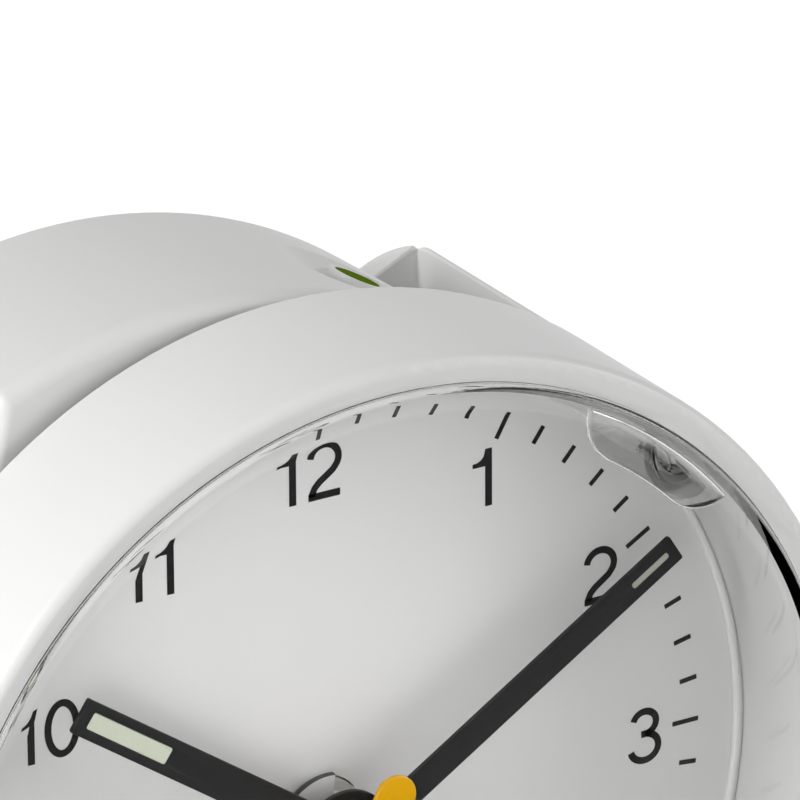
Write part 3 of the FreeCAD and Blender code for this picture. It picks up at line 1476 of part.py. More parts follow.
def write_parts():
    """Check every object and every shape, then write one STEP file for each piece."""
    doc.recompute()
    failed = [item.Label for item in doc.Objects if {"Invalid", "Error"} & set(item.State)]
    if failed:
        raise RuntimeError("objects failed: " + ", ".join(failed))
    pieces = [item for item in doc.Objects if item.TypeId in PIECES]
    for piece in pieces:
        if piece.Shape.isNull() or not piece.Shape.isValid() or not piece.Shape.Solids:
            raise RuntimeError("shape is null, open or not valid: " + piece.Label)
    os.makedirs("parts", exist_ok=True)
    for piece in pieces:
        piece.Shape.exportStep(f"parts/{piece.Label}.step")
        box_of = piece.Shape.optimalBoundingBox(False)
        print(f"{piece.Label}: {len(piece.Shape.Solids)} solid, {piece.Shape.Volume:.1f} mm3, "
              f"z {box_of.ZMin:.2f} to {box_of.ZMax:.2f}")


build()
write_parts()
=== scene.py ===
import json
import math

import bmesh
import bpy
from mathutils import Matrix, Vector


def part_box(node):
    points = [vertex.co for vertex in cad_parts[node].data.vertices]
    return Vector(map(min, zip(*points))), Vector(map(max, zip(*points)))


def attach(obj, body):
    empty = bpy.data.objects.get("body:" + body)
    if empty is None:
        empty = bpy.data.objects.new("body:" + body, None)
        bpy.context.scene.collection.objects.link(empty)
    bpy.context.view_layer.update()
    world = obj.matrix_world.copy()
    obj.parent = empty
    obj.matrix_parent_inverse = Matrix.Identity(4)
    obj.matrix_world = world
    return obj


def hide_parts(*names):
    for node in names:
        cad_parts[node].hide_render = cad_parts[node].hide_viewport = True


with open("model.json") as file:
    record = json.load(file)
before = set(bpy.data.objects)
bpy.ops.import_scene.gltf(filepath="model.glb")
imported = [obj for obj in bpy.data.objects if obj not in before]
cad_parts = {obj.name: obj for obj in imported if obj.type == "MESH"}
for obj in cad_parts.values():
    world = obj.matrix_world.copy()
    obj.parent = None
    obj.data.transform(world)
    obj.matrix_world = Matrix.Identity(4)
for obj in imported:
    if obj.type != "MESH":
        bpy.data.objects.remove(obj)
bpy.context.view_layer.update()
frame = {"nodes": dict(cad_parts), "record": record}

# A round quartz alarm clock, 68 mm across, with a rocker on top that switches the alarm.
# X runs to the right, Y to the back and Z up.
# Pieces are drawn in millimetres in the dial's frame: x to the right, y up, z out of the dial towards the
# reader. DIAL places them in metres. Levels behind the dial are negative.
MM = 0.001
RING_RADIUS = 33.8
DIAL_HEIGHT = RING_RADIUS + 1.6
DIAL_Y = -8.9
DIAL = (
    Matrix.Translation((0, DIAL_Y * MM, DIAL_HEIGHT * MM))
    @ Matrix.Rotation(math.radians(90), 4, "X")
    @ Matrix.Scale(MM, 4)
)
DIAL_RADIUS, DIAL_THICKNESS, DIAL_BORE = 31.15, 0.8, 3.0
# The print stands a fifth of a millimetre off the dial's centre.
PRINT_RADIUS = 28.03
PRINT_LEVEL = 0.02
PRINT_SHIFT = (-0.19, 0.14)
DRUM_DEPTH = 24.4
# Clockwise angles from twelve o'clock
HOUR_TIME, MINUTE_TIME, SECOND_TIME, ALARM_TIME = 304.8, 58.1, 205.0, 210.0
# Levels of the hands' backs, and their sizes
HAND_THICKNESS = 0.35
ALARM_LEVEL, HOUR_LEVEL, MINUTE_LEVEL, SECOND_LEVEL = 0.7, 2.85, 3.9, 6.0
HOUR_HAND = {"long": 22.65, "wide": 2.35, "hub": 3.2, "bore": 1.45, "slot": (15.2, 21.8, 1.14),
             "lume": "lume"}
MINUTE_HAND = {"long": 27.55, "wide": 1.92, "hub": 2.4, "bore": 0.9, "slot": (23.8, 26.85, 0.46),
               "lume": "thin_lume"}
# The crystal's faces
CRYSTAL_BACK, CRYSTAL_FRONT = 8.9, 10.1
# The lip round the dial, and how far the ring's front face leans in
LIP_WIDTH, LIP_HEIGHT = 0.75, 0.45
BEZEL_LEAN = 0.35
# The clear lugs, and the back's knobs, battery door and screws
LUG_CIRCLE = 31.8
LUG_RADIUS = 3.38
LUG_ANGLES = (33.2, 45.0)
KNOB_UP, KNOB_GAP = 4.0, 0.2
KNOB_RADIUS, KNOB_HEIGHT = 5.0, 3.3
DOOR_HALF_WIDE, DOOR_HALF_TALL, DOOR_THICKNESS, CELL_BELOW = 24.15, 6.05, 1.15, 10.0
SCREW_CIRCLE = 28.9
SCREW_ANGLES = (22.4, 157.6, -61.0, -119.0)


def turned(degrees):
    """A turn about the dial's axis, clockwise as the reader sees it."""
    return Matrix.Rotation(-math.radians(degrees), 4, "Z")


def on_circle(radius, degrees):
    """A place on the dial at a radius and a clockwise angle from twelve o'clock."""
    angle = math.radians(degrees)
    return radius * math.sin(angle), radius * math.cos(angle)


# Nodes and materials
def linear(hex_code):
    """An sRGB hex colour as linear RGBA."""
    parts = [int(hex_code[i:i + 2], 16) / 255 for i in (0, 2, 4)]
    return [p / 12.92 if p <= 0.04045 else ((p + 0.055) / 1.055) ** 2.4 for p in parts] + [1.0]


def add(tree, kind, inputs=None, **settings):
    """Add a node with its settings, then set or link its inputs by name or number."""
    made = tree.nodes.new(kind)
    for name, value in settings.items():
        setattr(made, name, value)
    for name, value in (inputs or {}).items():
        if isinstance(value, bpy.types.NodeSocket):
            tree.links.new(value, made.inputs[name])
        else:
            made.inputs[name].default_value = value
    return made


def blank(name):
    """A new material and its tree, with only the output in it."""
    material = bpy.data.materials.new(name)
    material.use_nodes = True
    tree = material.node_tree
    tree.nodes.clear()
    return material, tree, tree.nodes.new("ShaderNodeOutputMaterial")


def grain(tree, size_mm, detail=2.0, stretch=(1, 1, 1)):
    """Noise whose grains are about size_mm across, fixed to the piece."""
    place = add(tree, "ShaderNodeTexCoord")
    fitted = add(tree, "ShaderNodeMapping", {"Vector": place.outputs["Object"], "Scale": stretch})
    return add(tree, "ShaderNodeTexNoise", {
        "Vector": fitted.outputs["Vector"],
        "Scale": 1 / (size_mm * MM),
        "Detail": detail,
        "Roughness": 0.55,
    })


def surface(name, colour, roughness, grain_mm=0.3, bump_mm=0.003, spread=0.03, rough_spread=0.05,
            stretch=(1, 1, 1), **shader):
    """An opaque finish: a colour and a roughness that both vary a little, with a fine relief."""
    material, tree, output = blank(name)
    fine = grain(tree, grain_mm, 2.0, stretch)
    broad = grain(tree, grain_mm * 30, 1.0)
    dark = [c * (1 - spread) for c in linear(colour)[:3]] + [1.0]
    tint = add(tree, "ShaderNodeMix", {0: broad.outputs["Fac"], 6: dark, 7: linear(colour)}, data_type="RGBA")
    rough = add(tree, "ShaderNodeMapRange", {
        "Value": fine.outputs["Fac"], "To Min": roughness - rough_spread, "To Max": roughness + rough_spread})
    relief = add(tree, "ShaderNodeBump", {
        "Height": fine.outputs["Fac"], "Distance": bump_mm * MM, "Strength": 1.0})
    settings = {label.replace("_", " "): value for label, value in shader.items()}
    body = add(tree, "ShaderNodeBsdfPrincipled", {
        "Base Color": tint.outputs[2], "Roughness": rough.outputs["Result"],
        "Normal": relief.outputs["Normal"], **settings})
    tree.links.new(body.outputs["BSDF"], output.inputs["Surface"])
    return material


def dial_lacquer_and_painted_light():
    """Silver-white lacquer sprayed on aluminium, even and satin, with painted light and shade: its colour is
    lightest at the upper middle and greys away from there.
    """
    material, tree, output = blank("silver_white_lacquer_painted_light")
    # Painted light and shade: the base colour is lightest round this point and greys with distance from it.
    painted_light_centre = (-0.001, DIAL_Y * MM, 0.052)
    fine = grain(tree, 0.12)
    place = add(tree, "ShaderNodeTexCoord")
    away = add(tree, "ShaderNodeVectorMath", {0: place.outputs["Object"], 1: painted_light_centre}, operation="DISTANCE")
    painted_shade_falloff = add(tree, "ShaderNodeMapRange", {
        "Value": away.outputs["Value"],
        "From Min": 0.009,
        "From Max": 0.027,
    }, interpolation_type="SMOOTHSTEP")
    tint = add(tree, "ShaderNodeMix", {
        0: painted_shade_falloff.outputs["Result"], 6: linear("F9F9F8"), 7: linear("DEDEDD")}, data_type="RGBA")
    relief = add(tree, "ShaderNodeBump", {
        "Height": fine.outputs["Fac"], "Distance": 0.002 * MM, "Strength": 1.0})
    body = add(tree, "ShaderNodeBsdfPrincipled", {
        "Base Color": tint.outputs[2], "Roughness": 0.45, "Normal": relief.outputs["Normal"]})
    tree.links.new(body.outputs["BSDF"], output.inputs["Surface"])
    return material


def clear(name, colour, ior, roughness):
    """Clear plastic. Rays from lamps go straight through, so that what is behind it is lit."""
    material, tree, output = blank(name)
    body = add(tree, "ShaderNodeBsdfPrincipled", {
        "Base Color": linear(colour), "Roughness": roughness, "IOR": ior, "Transmission Weight": 1.0})
    through = add(tree, "ShaderNodeBsdfTransparent", {"Color": linear(colour)})
    path = add(tree, "ShaderNodeLightPath")
    both = add(tree, "ShaderNodeMixShader", {
        0: path.outputs["Is Shadow Ray"], 1: body.outputs["BSDF"], 2: through.outputs["BSDF"]})
    tree.links.new(both.outputs["Shader"], output.inputs["Surface"])
    return material


def finishes():
    """Each finish is named for the real material and how its surface was made."""
    return {
        # Injection-moulded ABS with a fine spark-eroded skin: a soft sheen and no clear reflections.
        "case_white": surface("moulded_abs_satin_white", "ECECEB", 0.4, IOR=1.53),
        "rocker_white": surface("moulded_abs_rocker_white", "E6E6E5", 0.42, IOR=1.53),
        # Pressed rubber: matt, black and a little grainy.
        "rubber": surface("pressed_rubber_black", "1C1C1C", 0.8, 0.4, 0.01, 0.2),
        # Zinc plating on steel: bright grey, slightly cloudy.
        "steel": surface("zinc_plated_steel", "B9BABB", 0.32, 0.2, 0.002, 0.08, Metallic=1.0),
        # Polished moulded plastic: clear and smooth, with plain reflections.
        "crystal": clear("polished_acrylic_clear", "FDFDFD", 1.49, 0.0),
        "clear_guide": clear("moulded_acrylic_clear", "F9F9F8", 1.49, 0.0),
        # Epoxy cast round the lamp: milky white, with a soft sheen.
        "lamp": surface("cast_epoxy_lamp", "F2F2F0", 0.4),
        # Lacquer with painted light and shade: lightest at the upper middle, greying outwards.
        "dial_silver": dial_lacquer_and_painted_light(),
        # Green printed in the dimple: flat, with no sheen of its own.
        "marker_green": surface("printed_green_marker", "66821E", 0.6, Specular_IOR_Level=0.0),
        # Lacquer sprayed on stamped hands: smooth in white, nearly matt in black.
        "hand_white": surface("lacquered_alarm_hand_white", "E4E4E2", 0.4),
        "hand_black": surface("lacquered_hand_black", "1A1A1B", 0.5, 0.15, 0.002, 0.2),
        # Phosphor paste: pale, chalky and slightly uneven.
        "lume": surface("phosphor_paste_pale_green", "E0E6D2", 0.7, 0.1, 0.006, 0.08),
        # The same paste, darker and greyer.
        "thin_lume": surface("phosphor_paste_greyer", "B6B8AB", 0.7, 0.1, 0.006, 0.08),
        # Baked enamel: a strong even colour with a clear gloss.
        "hand_yellow": surface("baked_enamel_yellow", "EDB000", 0.2, 0.5, 0.001, 0.03),
        # Plastics of the movement, as they leave the mould: soft and plain.
        "plain_white": surface("moulded_abs_unfinished", "D8D8D2", 0.5),
        "gear_white": surface("moulded_acetal_natural", "DAD6C8", 0.4),
        # Sintered ferrite: dark, grainy and faintly metallic.
        "magnet": surface("sintered_ferrite_magnet", "4A4A4C", 0.45, 0.3, 0.004, 0.2, Metallic=0.6),
        # Wire a tenth of a millimetre thick, drawn twice as coarse so that its turns show.
        "copper": surface("enamelled_copper_winding", "B5662F", 0.3, 0.2, 0.02, 0.25,
                          stretch=(1, 0.05, 0.05), Metallic=1.0),
        # Solder resist on a fibreglass board: dark green with a soft gloss.
        "board_green": surface("coated_fibreglass_board", "1D5A33", 0.4, 0.5, 0.004, 0.2),
        # Moulded epoxy: nearly black and satin.
        "black_resin": surface("moulded_epoxy_black", "1B1B1C", 0.5),
        # Nickel plate on spring strip: bright and smooth.
        "nickel": surface("nickel_plated_strip", "C4C2BC", 0.2, 0.2, 0.001, 0.05, Metallic=1.0),
        # A plastic sleeve shrunk on the cell: dark, smooth and glossy.
        "cell_wrap": surface("shrunk_sleeve_dark", "2A2B30", 0.25),
        # A dark grey, satin band on part of the side wall of the alarm hand's disc.
        "rim_grey": surface("disc_side_wall_dark_grey", "4A4A4A", 0.45),
        # Screen-printed ink on the dial, a little glossier than the lacquer.
        "dial_ink": surface("screen_printed_black_ink", "121212", 0.4, 0.1, 0.001, 0.1),
    }


FINISH = finishes()
RECORD = frame["record"]
SLOT_OF = {part["node"]: part["material_slot"] for part in RECORD["subparts"]}
BODY_OF = {name: body for body, names in RECORD["behaviour"]["bodies"].items() for name in names}


# Pieces and meshes
def new_piece(name, mesh):
    """A new object in the scene."""
    piece = bpy.data.objects.new(name, mesh)
    bpy.context.scene.collection.objects.link(piece)
    return piece


def finished(piece, node, finish=None, replaces=True):
    """Ride, slot and finish for a piece that stands for a CAD node or lies on it."""
    piece.data.materials.clear()
    piece.data.materials.append(FINISH[finish or SLOT_OF[node]])
    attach(piece, BODY_OF[node])
    if replaces:
        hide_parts(node)
    return piece


def applied(piece):
    """The piece with its modifiers' result as its plain mesh."""
    depsgraph = bpy.context.evaluated_depsgraph_get()
    mesh = bpy.data.meshes.new_from_object(piece.evaluated_get(depsgraph))
    piece.modifiers.clear()
    piece.data = mesh
    return piece


def weighted(piece, degrees):
    """Smooth shading up to an angle, with the normals of large faces kept."""
    piece.data.shade_smooth()
    piece.data.set_sharp_from_angle(angle=math.radians(degrees))
    rule = piece.modifiers.new("normals", "WEIGHTED_NORMAL")
    rule.keep_sharp = True
    rule.weight = 60
    return applied(piece)


def merged(mesh, distance=0.002):
    """The mesh with its doubles merged and its faces turned outwards."""
    work = bmesh.new()
    work.from_mesh(mesh)
    bmesh.ops.remove_doubles(work, verts=work.verts, dist=distance)
    bmesh.ops.recalc_face_normals(work, faces=work.faces)
    work.to_mesh(mesh)
    work.free()
    return mesh


def joined(meshes):
    """Several meshes as one."""
    work = bmesh.new()
    for mesh in meshes:
        work.from_mesh(mesh)
    whole = bpy.data.meshes.new("whole")
    work.to_mesh(whole)
    work.free()
    return whole


def placed(mesh, place):
    """The mesh moved within the dial's frame."""
    mesh.transform(place)
    return mesh


def piece_of(name, node, meshes, finish=None, degrees=30, replaces=True):
    """A finished piece from meshes drawn in the dial's frame."""
    mesh = joined(meshes)
    mesh.transform(DIAL)
    piece = weighted(new_piece(name, mesh), degrees)
    return finished(piece, node, finish, replaces)


def disc(radius, across=0.0, up=0.0, steps=96):
    """A circle's points."""
    turn = 2 * math.pi / steps
    return [(across + radius * math.cos(turn * i), up + radius * math.sin(turn * i)) for i in range(steps)]


def plate(outlines, low, high, edge):
    """A flat plate between two levels, with holes where an outline lies in another, and rounded edges."""
    curve = bpy.data.curves.new("outline", "CURVE")
    curve.dimensions = "2D"
    curve.fill_mode = "BOTH"
    curve.extrude = (high - low) / 2 - edge
    curve.bevel_depth = edge
    curve.bevel_resolution = 2
    curve.offset = -edge
    for outline in outlines:
        spline = curve.splines.new("POLY")
        spline.points.add(len(outline) - 1)
        for point, (across, up) in zip(spline.points, outline):
            point.co = (across, up, 0, 1)
        spline.use_cyclic_u = True
    holder = new_piece("outline", curve)
    bpy.context.view_layer.update()
    mesh = bpy.data.meshes.new_from_object(holder)
    bpy.data.objects.remove(holder)
    mesh.transform(Matrix.Translation((0, 0, (low + high) / 2)))
    return merged(mesh)


def lathe(profile, segments=180, closed=True):
    """A solid turned about z from points (radius, level); a radius of 0 is a pole."""
    work = bmesh.new()
    rings = []
    for radius, level in profile:
        if radius < 1e-6:
            rings.append([work.verts.new((0, 0, level))])
            continue
        turn = 2 * math.pi / segments
        rings.append([work.verts.new((radius * math.cos(turn * i), radius * math.sin(turn * i), level))
                      for i in range(segments)])
    for here, there in zip(rings, rings[1:] + rings[:1] if closed else rings[1:]):
        for i in range(segments):
            j = (i + 1) % segments
            corners = [here[i % len(here)], here[j % len(here)], there[j % len(there)], there[i % len(there)]]
            corners = list(dict.fromkeys(corners))
            if len(corners) > 2:
                work.faces.new(corners)
    bmesh.ops.recalc_face_normals(work, faces=work.faces)
    mesh = bpy.data.meshes.new("turned")
    work.to_mesh(mesh)
    work.free()
    return mesh


def round_over(radius, level, size, start, end, steps=6):
    """Points of a rounding whose centre is at a radius and level, between two angles."""
    angles = [math.radians(start + (end - start) * i / steps) for i in range(steps + 1)]
    return [(radius + size * math.cos(a), level + size * math.sin(a)) for a in angles]


def dressed(node, name, degrees=40, edge_mm=0.0, reshape=None):
    """A merged copy of a CAD node's mesh with smooth shading, and rounded edges where it has none."""
    mesh = frame["nodes"][node].data.copy()
    work = bmesh.new()
    work.from_mesh(mesh)
    bmesh.ops.remove_doubles(work, verts=work.verts, dist=0.002 * MM)
    bmesh.ops.dissolve_limit(work, angle_limit=math.radians(0.5), verts=work.verts, edges=work.edges)
    if reshape:
        for vertex in work.verts:
            vertex.co = reshape(vertex.co)
    work.to_mesh(mesh)
    work.free()
    mesh.materials.clear()
    piece = new_piece(name, mesh)
    if edge_mm:
        bevel = piece.modifiers.new("edges", "BEVEL")
        bevel.width = edge_mm * MM
        bevel.segments = 3
        bevel.limit_method = "ANGLE"
        bevel.angle_limit = math.radians(degrees)
        bevel.miter_outer = "MITER_ARC"
        piece = applied(piece)
    return finished(weighted(piece, degrees), node)


# The dial's print
MARK_SHORT, MARK_LONG, MARK_WIDTH = 1.27, 1.94, 0.33
CAP_HEIGHT = 3.86
# A stroke's and a digit's width, in cap heights
STROKE = 0.125
DIGIT_WIDE = 0.646


def arc(across, up, half_wide, half_tall, start, end):
    """Points of part of an ellipse, about ten degrees apart."""
    count = max(6, round(abs(end - start) / 10))
    angles = [math.radians(start + (end - start) * i / count) for i in range(count + 1)]
    return [(across + half_wide * math.cos(a), up + half_tall * math.sin(a)) for a in angles]


SIX = [
    arc(0.323, 0.315, 0.26, 0.25, 0, 360),
    arc(0.329, 0.5, 0.267, 0.435, 38, 185) + [(0.064, 0.38), (0.066, 0.32)],
]
# Each digit's strokes, in cap heights from its lower left corner
DIGITS = {
    "0": [arc(0.323, 0.5, 0.26, 0.4375, 0, 360)],
    "2": [
        arc(0.329, 0.685, 0.26, 0.25, 172, -30)
        + [(0.488, 0.475), (0.361, 0.385), (0.234, 0.3), (0.145, 0.21), (0.107, 0.125), (0.1, 0.07)],
        [(0.03, 0.0625), (0.615, 0.0625)],
    ],
    "3": [
        arc(0.317, 0.735, 0.222, 0.202, 165, -78) + [(0.253, 0.53)],
        arc(0.317, 0.3, 0.267, 0.238, 88, -168),
    ],
    "4": [[(0.456, 0), (0.456, 1)], [(0.437, 0.95), (0.0625, 0.31)], [(0.005, 0.28), (0.653, 0.28)]],
    "5": [
        [(0.12, 0.9375), (0.583, 0.9375)],
        [(0.17, 0.96), (0.1, 0.5)],
        arc(0.317, 0.315, 0.273, 0.255, 138, -165),
    ],
    "6": SIX,
    "7": [
        [(0.018, 0.9375), (0.628, 0.9375)],
        [(0.577, 0.93), (0.437, 0.73), (0.329, 0.5), (0.253, 0.25), (0.221, 0)],
    ],
    "8": [arc(0.323, 0.74, 0.21, 0.198, 0, 360), arc(0.323, 0.295, 0.26, 0.235, 0, 360)],
    "9": [[(DIGIT_WIDE - across, 1 - up) for across, up in stroke] for stroke in SIX],
}
# The one is an outline, because its flag curves into the top of its stem.
ONE = [(0.03, 0.7), (0.03, 0.775), (0.12, 0.785), (0.19, 0.82), (0.24, 0.88), (0.27, 1.0), (0.395, 1.0),
       (0.395, 0.0), (0.265, 0.0), (0.265, 0.7)]
# For each hour, its baseline and the left ends of its digits, in millimetres from the dial's centre
NUMERALS = [
    (18.24, [("1", 11.21)]),
    (9.71, [("2", 19.4)]),
    (-2.2, [("3", 22.78)]),
    (-14.02, [("4", 19.48)]),
    (-22.5, [("5", 10.7)]),
    (-25.56, [("6", -1.03)]),
    (-22.5, [("7", -12.76)]),
    (-14.02, [("8", -21.54)]),
    (-2.18, [("9", -25.08)]),
    (8.67, [("1", -21.36), ("0", -19.15)]),
    (17.64, [("1", -13.68), ("1", -11.47)]),
    (21.46, [("1", -2.82), ("2", -0.55)]),
]


def ribbon(points, wide):
    """The two sides of a stroke of even width."""
    closed = math.dist(points[0], points[-1]) < 1e-6
    sides = []
    for i, (across, up) in enumerate(points):
        before = points[i - 1] if i else points[-2 if closed else 0]
        after = points[i + 1] if i + 1 < len(points) else points[1 if closed else -1]
        run = (after[0] - before[0], after[1] - before[1])
        reach = wide / 2 / math.hypot(*run)
        aside, along = run[1] * reach, run[0] * reach
        sides.append(((across - aside, up + along), (across + aside, up - along)))
    return sides


def numerals():
    """The hours from 1 to 12, upright, as flat ink."""
    work = bmesh.new()

    def ink(corners, left, baseline):
        """One inked face of a digit."""
        work.faces.new([
            work.verts.new((left + across * CAP_HEIGHT, baseline + up * CAP_HEIGHT, PRINT_LEVEL))
            for across, up in corners])

    for baseline, digits in NUMERALS:
        for digit, left in digits:
            if digit == "1":
                ink(reversed(ONE), left, baseline)
                continue
            for stroke in DIGITS[digit]:
                sides = ribbon(stroke, STROKE)
                for (a, b), (c, d) in zip(sides, sides[1:]):
                    ink((b, d, c, a), left, baseline)
    mesh = bpy.data.meshes.new("numerals")
    work.to_mesh(mesh)
    work.free()
    place = Matrix.Translation((*PRINT_SHIFT, 0))
    piece_of("numerals", "dial_plate", [placed(merged(mesh), place)], "dial_ink", replaces=False)


def rule_piece(name, tree, values):
    """A new piece made by a Geometry Nodes tree, its inputs set by their identifiers."""
    piece = new_piece(name, bpy.data.meshes.new(name))
    rule = piece.modifiers.new("rule", "NODES")
    rule.node_group = tree
    for socket in tree.interface.items_tree:
        if socket.in_out == "INPUT" and socket.name in values:
            rule[socket.identifier] = values[socket.name]
    return applied(piece)


def new_rule(name, sizes):
    """An empty Geometry Nodes tree with named inputs."""
    tree = bpy.data.node_groups.new(name, "GeometryNodeTree")
    for label, kind in sizes.items():
        tree.interface.new_socket(label, in_out="INPUT", socket_type=kind)
    tree.interface.new_socket("Geometry", in_out="OUTPUT", socket_type="NodeSocketGeometry")
    return tree, add(tree, "NodeGroupInput")


def minute_marks():
    """Sixty marks round the dial, each fifth one longer."""
    number = "NodeSocketFloat"
    tree, given = new_rule("minute_marks", {
        "Radius": number, "Short": number, "Long": number, "Width": number})
    index = add(tree, "GeometryNodeInputIndex")
    fifth = add(tree, "ShaderNodeMath", {0: index.outputs[0], 1: 5.0}, operation="MODULO")
    is_long = add(tree, "ShaderNodeMath", {0: fifth.outputs[0], 1: 0.5}, operation="LESS_THAN")
    extra = add(tree, "ShaderNodeMath", {
        0: given.outputs["Long"], 1: given.outputs["Short"]}, operation="SUBTRACT")
    length = add(tree, "ShaderNodeMath", {
        0: is_long.outputs[0], 1: extra.outputs[0], 2: given.outputs["Short"]}, operation="MULTIPLY_ADD")
    points = add(tree, "GeometryNodeMeshCircle", {"Vertices": 60, "Radius": given.outputs["Radius"]})
    back = add(tree, "ShaderNodeMath", {0: length.outputs[0], 1: -0.5}, operation="MULTIPLY")
    place = add(tree, "GeometryNodeInputPosition")
    outward = add(tree, "ShaderNodeVectorMath", {0: place.outputs[0]}, operation="NORMALIZE")
    shift = add(tree, "ShaderNodeVectorMath", {
        0: outward.outputs[0], "Scale": back.outputs[0]}, operation="SCALE")
    moved = add(tree, "GeometryNodeSetPosition", {
        "Geometry": points.outputs["Mesh"], "Offset": shift.outputs[0]})
    bar = add(tree, "GeometryNodeMeshGrid", {"Size X": 1.0, "Size Y": 1.0, "Vertices X": 2, "Vertices Y": 2})
    size = add(tree, "ShaderNodeCombineXYZ", {
        "X": length.outputs[0], "Y": given.outputs["Width"], "Z": 1.0})
    turn = add(tree, "FunctionNodeAlignRotationToVector", {"Vector": outward.outputs[0]}, axis="X")
    bars = add(tree, "GeometryNodeInstanceOnPoints", {
        "Points": moved.outputs[0], "Instance": bar.outputs["Mesh"],
        "Rotation": turn.outputs[0], "Scale": size.outputs[0]})
    real = add(tree, "GeometryNodeRealizeInstances", {"Geometry": bars.outputs[0]})
    inked = add(tree, "GeometryNodeSetMaterial", {
        "Geometry": real.outputs[0], "Material": FINISH["dial_ink"]})
    add(tree, "NodeGroupOutput", {"Geometry": inked.outputs[0]})
    piece = rule_piece("minute_marks", tree, {
        "Radius": PRINT_RADIUS, "Short": MARK_SHORT, "Long": MARK_LONG, "Width": MARK_WIDTH})
    piece.data.transform(DIAL @ Matrix.Translation((*PRINT_SHIFT, PRINT_LEVEL)))
    finished(piece, "dial_plate", "dial_ink", replaces=False)


# Dial and hands
def dial():
    """The dial, its print, and the low white lip round it that the crystal's foot stands in."""
    face = plate([disc(DIAL_RADIUS, steps=240), disc(DIAL_BORE)], -DIAL_THICKNESS, 0, 0.03)
    piece_of("dial", "dial_plate", [face])
    lip_outer, lip_inner = DIAL_RADIUS + 0.04, DIAL_RADIUS - LIP_WIDTH
    lip = plate([disc(lip_outer, steps=240), disc(lip_inner, steps=240)], 0, LIP_HEIGHT, 0.1)
    piece_of("dial_lip", "dial_plate", [lip], "case_white", replaces=False)
    numerals()
    minute_marks()


def slot_outline(start, end, wide, fit=0.0, corner=0.15):
    """A slot along a hand, with rounded corners."""
    half = wide / 2 - fit
    low, high = start + fit, end - fit
    outline = []
    for across, up, first in ((half, high, 0), (-half, high, 90), (-half, low, 180), (half, low, 270)):
        middle = across - math.copysign(corner, across)
        level = up - corner if up == high else up + corner
        for a in range(first, first + 91, 15):
            heading = math.radians(a)
            outline.append((middle + corner * math.cos(heading), level + corner * math.sin(heading)))
    return outline


def hub_arc(hub, first, last, steps=60):
    """Points of a hub from one angle to another, clockwise from twelve, as the outline runs."""
    return [on_circle(hub, first + (last - first) * i / steps) for i in range(steps + 1)]


def blade_outline(long, wide, hub):
    """A straight blade that points up from a round hub, with its far corners just taken off."""
    half = wide / 2
    nick = 0.1
    meets = math.degrees(math.asin(half / hub))
    tip = [(-half, long - nick), (-half + nick, long), (half - nick, long), (half, long - nick)]
    return tip + hub_arc(hub, meets, 360 - meets)


def glowing_hand(name, node, sizes, time, level):
    """A black hand with a strip of lume in its slot."""
    slot = sizes["slot"]
    blade = plate([blade_outline(sizes["long"], sizes["wide"], sizes["hub"]), slot_outline(*slot),
                   disc(sizes["bore"], steps=48)], level, level + HAND_THICKNESS, 0.05)
    piece_of(name + "_blade", node + "_hand", [placed(blade, turned(time))])
    glow = plate([slot_outline(*slot, fit=0.01)], level, level + HAND_THICKNESS - 0.05, 0.03)
    piece_of(name + "_glow", node + "_lume", [placed(glow, turned(time))], sizes["lume"])


def second_hand():
    """A slim pointer with a broad rounded tail and a domed hub."""
    wide, long, tail_wide, tail_long, hub = 0.8, 26.0, 2.9, 5.45, 1.9
    nick = wide / 5
    half = wide / 2
    tail = tail_wide / 2
    meets = math.degrees(math.asin(half / hub))
    leaves = 180 - math.degrees(math.asin(tail / hub))
    end = [(tail * math.cos(math.radians(a)), tail - tail_long + tail * math.sin(math.radians(a)))
           for a in range(0, -181, -6)]
    outline = [(-half, long - nick), (-half + nick, long), (half - nick, long), (half, long - nick)]
    outline += hub_arc(hub, meets, leaves, 24) + end + hub_arc(hub, 360 - leaves, 360 - meets, 24)
    blade = plate([outline], SECOND_LEVEL, SECOND_LEVEL + HAND_THICKNESS, 0.1)
    top = SECOND_LEVEL + 1.1
    dome = lathe([(0, SECOND_LEVEL + 0.1), (hub, SECOND_LEVEL + 0.1)]
                 + round_over(hub - 0.5, top - 0.5, 0.5, 0, 90) + [(0, top)], 72)
    piece_of("second_blade", "second_hand", [placed(joined([blade, dome]), turned(SECOND_TIME))], degrees=35)


def alarm_hand():
    """A white disc with a short pointer and an open notch, and a dark rim round its side wall."""
    low, high = ALARM_LEVEL, ALARM_LEVEL + 0.4
    disc_radius, hub, bore = 3.5, 2.25, 2.05
    pointer_long, half = 17.0, 0.45
    first, last = 158.0, 230.0
    rim_wide = 0.055
    meets = math.degrees(math.asin(half / disc_radius))
    tip = [(-half, pointer_long), (half, pointer_long)]
    near = hub_arc(disc_radius - 0.06, meets, first, 36)
    far = hub_arc(disc_radius - 0.06, last, 360 - meets, 36)
    outline = tip + near + hub_arc(hub, first, last, 24) + far
    blade = plate([outline, disc(bore, steps=60)], low, high, 0.03)
    piece_of("alarm_blade", "alarm_hand", [placed(blade, turned(ALARM_TIME))])
    rim = plate([hub_arc(disc_radius, meets, first, 36)
                 + list(reversed(hub_arc(disc_radius - rim_wide, meets, first, 36)))], low, high - 0.01, 0.01)
    piece_of("alarm_disc_rim", "alarm_hand", [placed(rim, turned(ALARM_TIME))], "rim_grey", replaces=False)


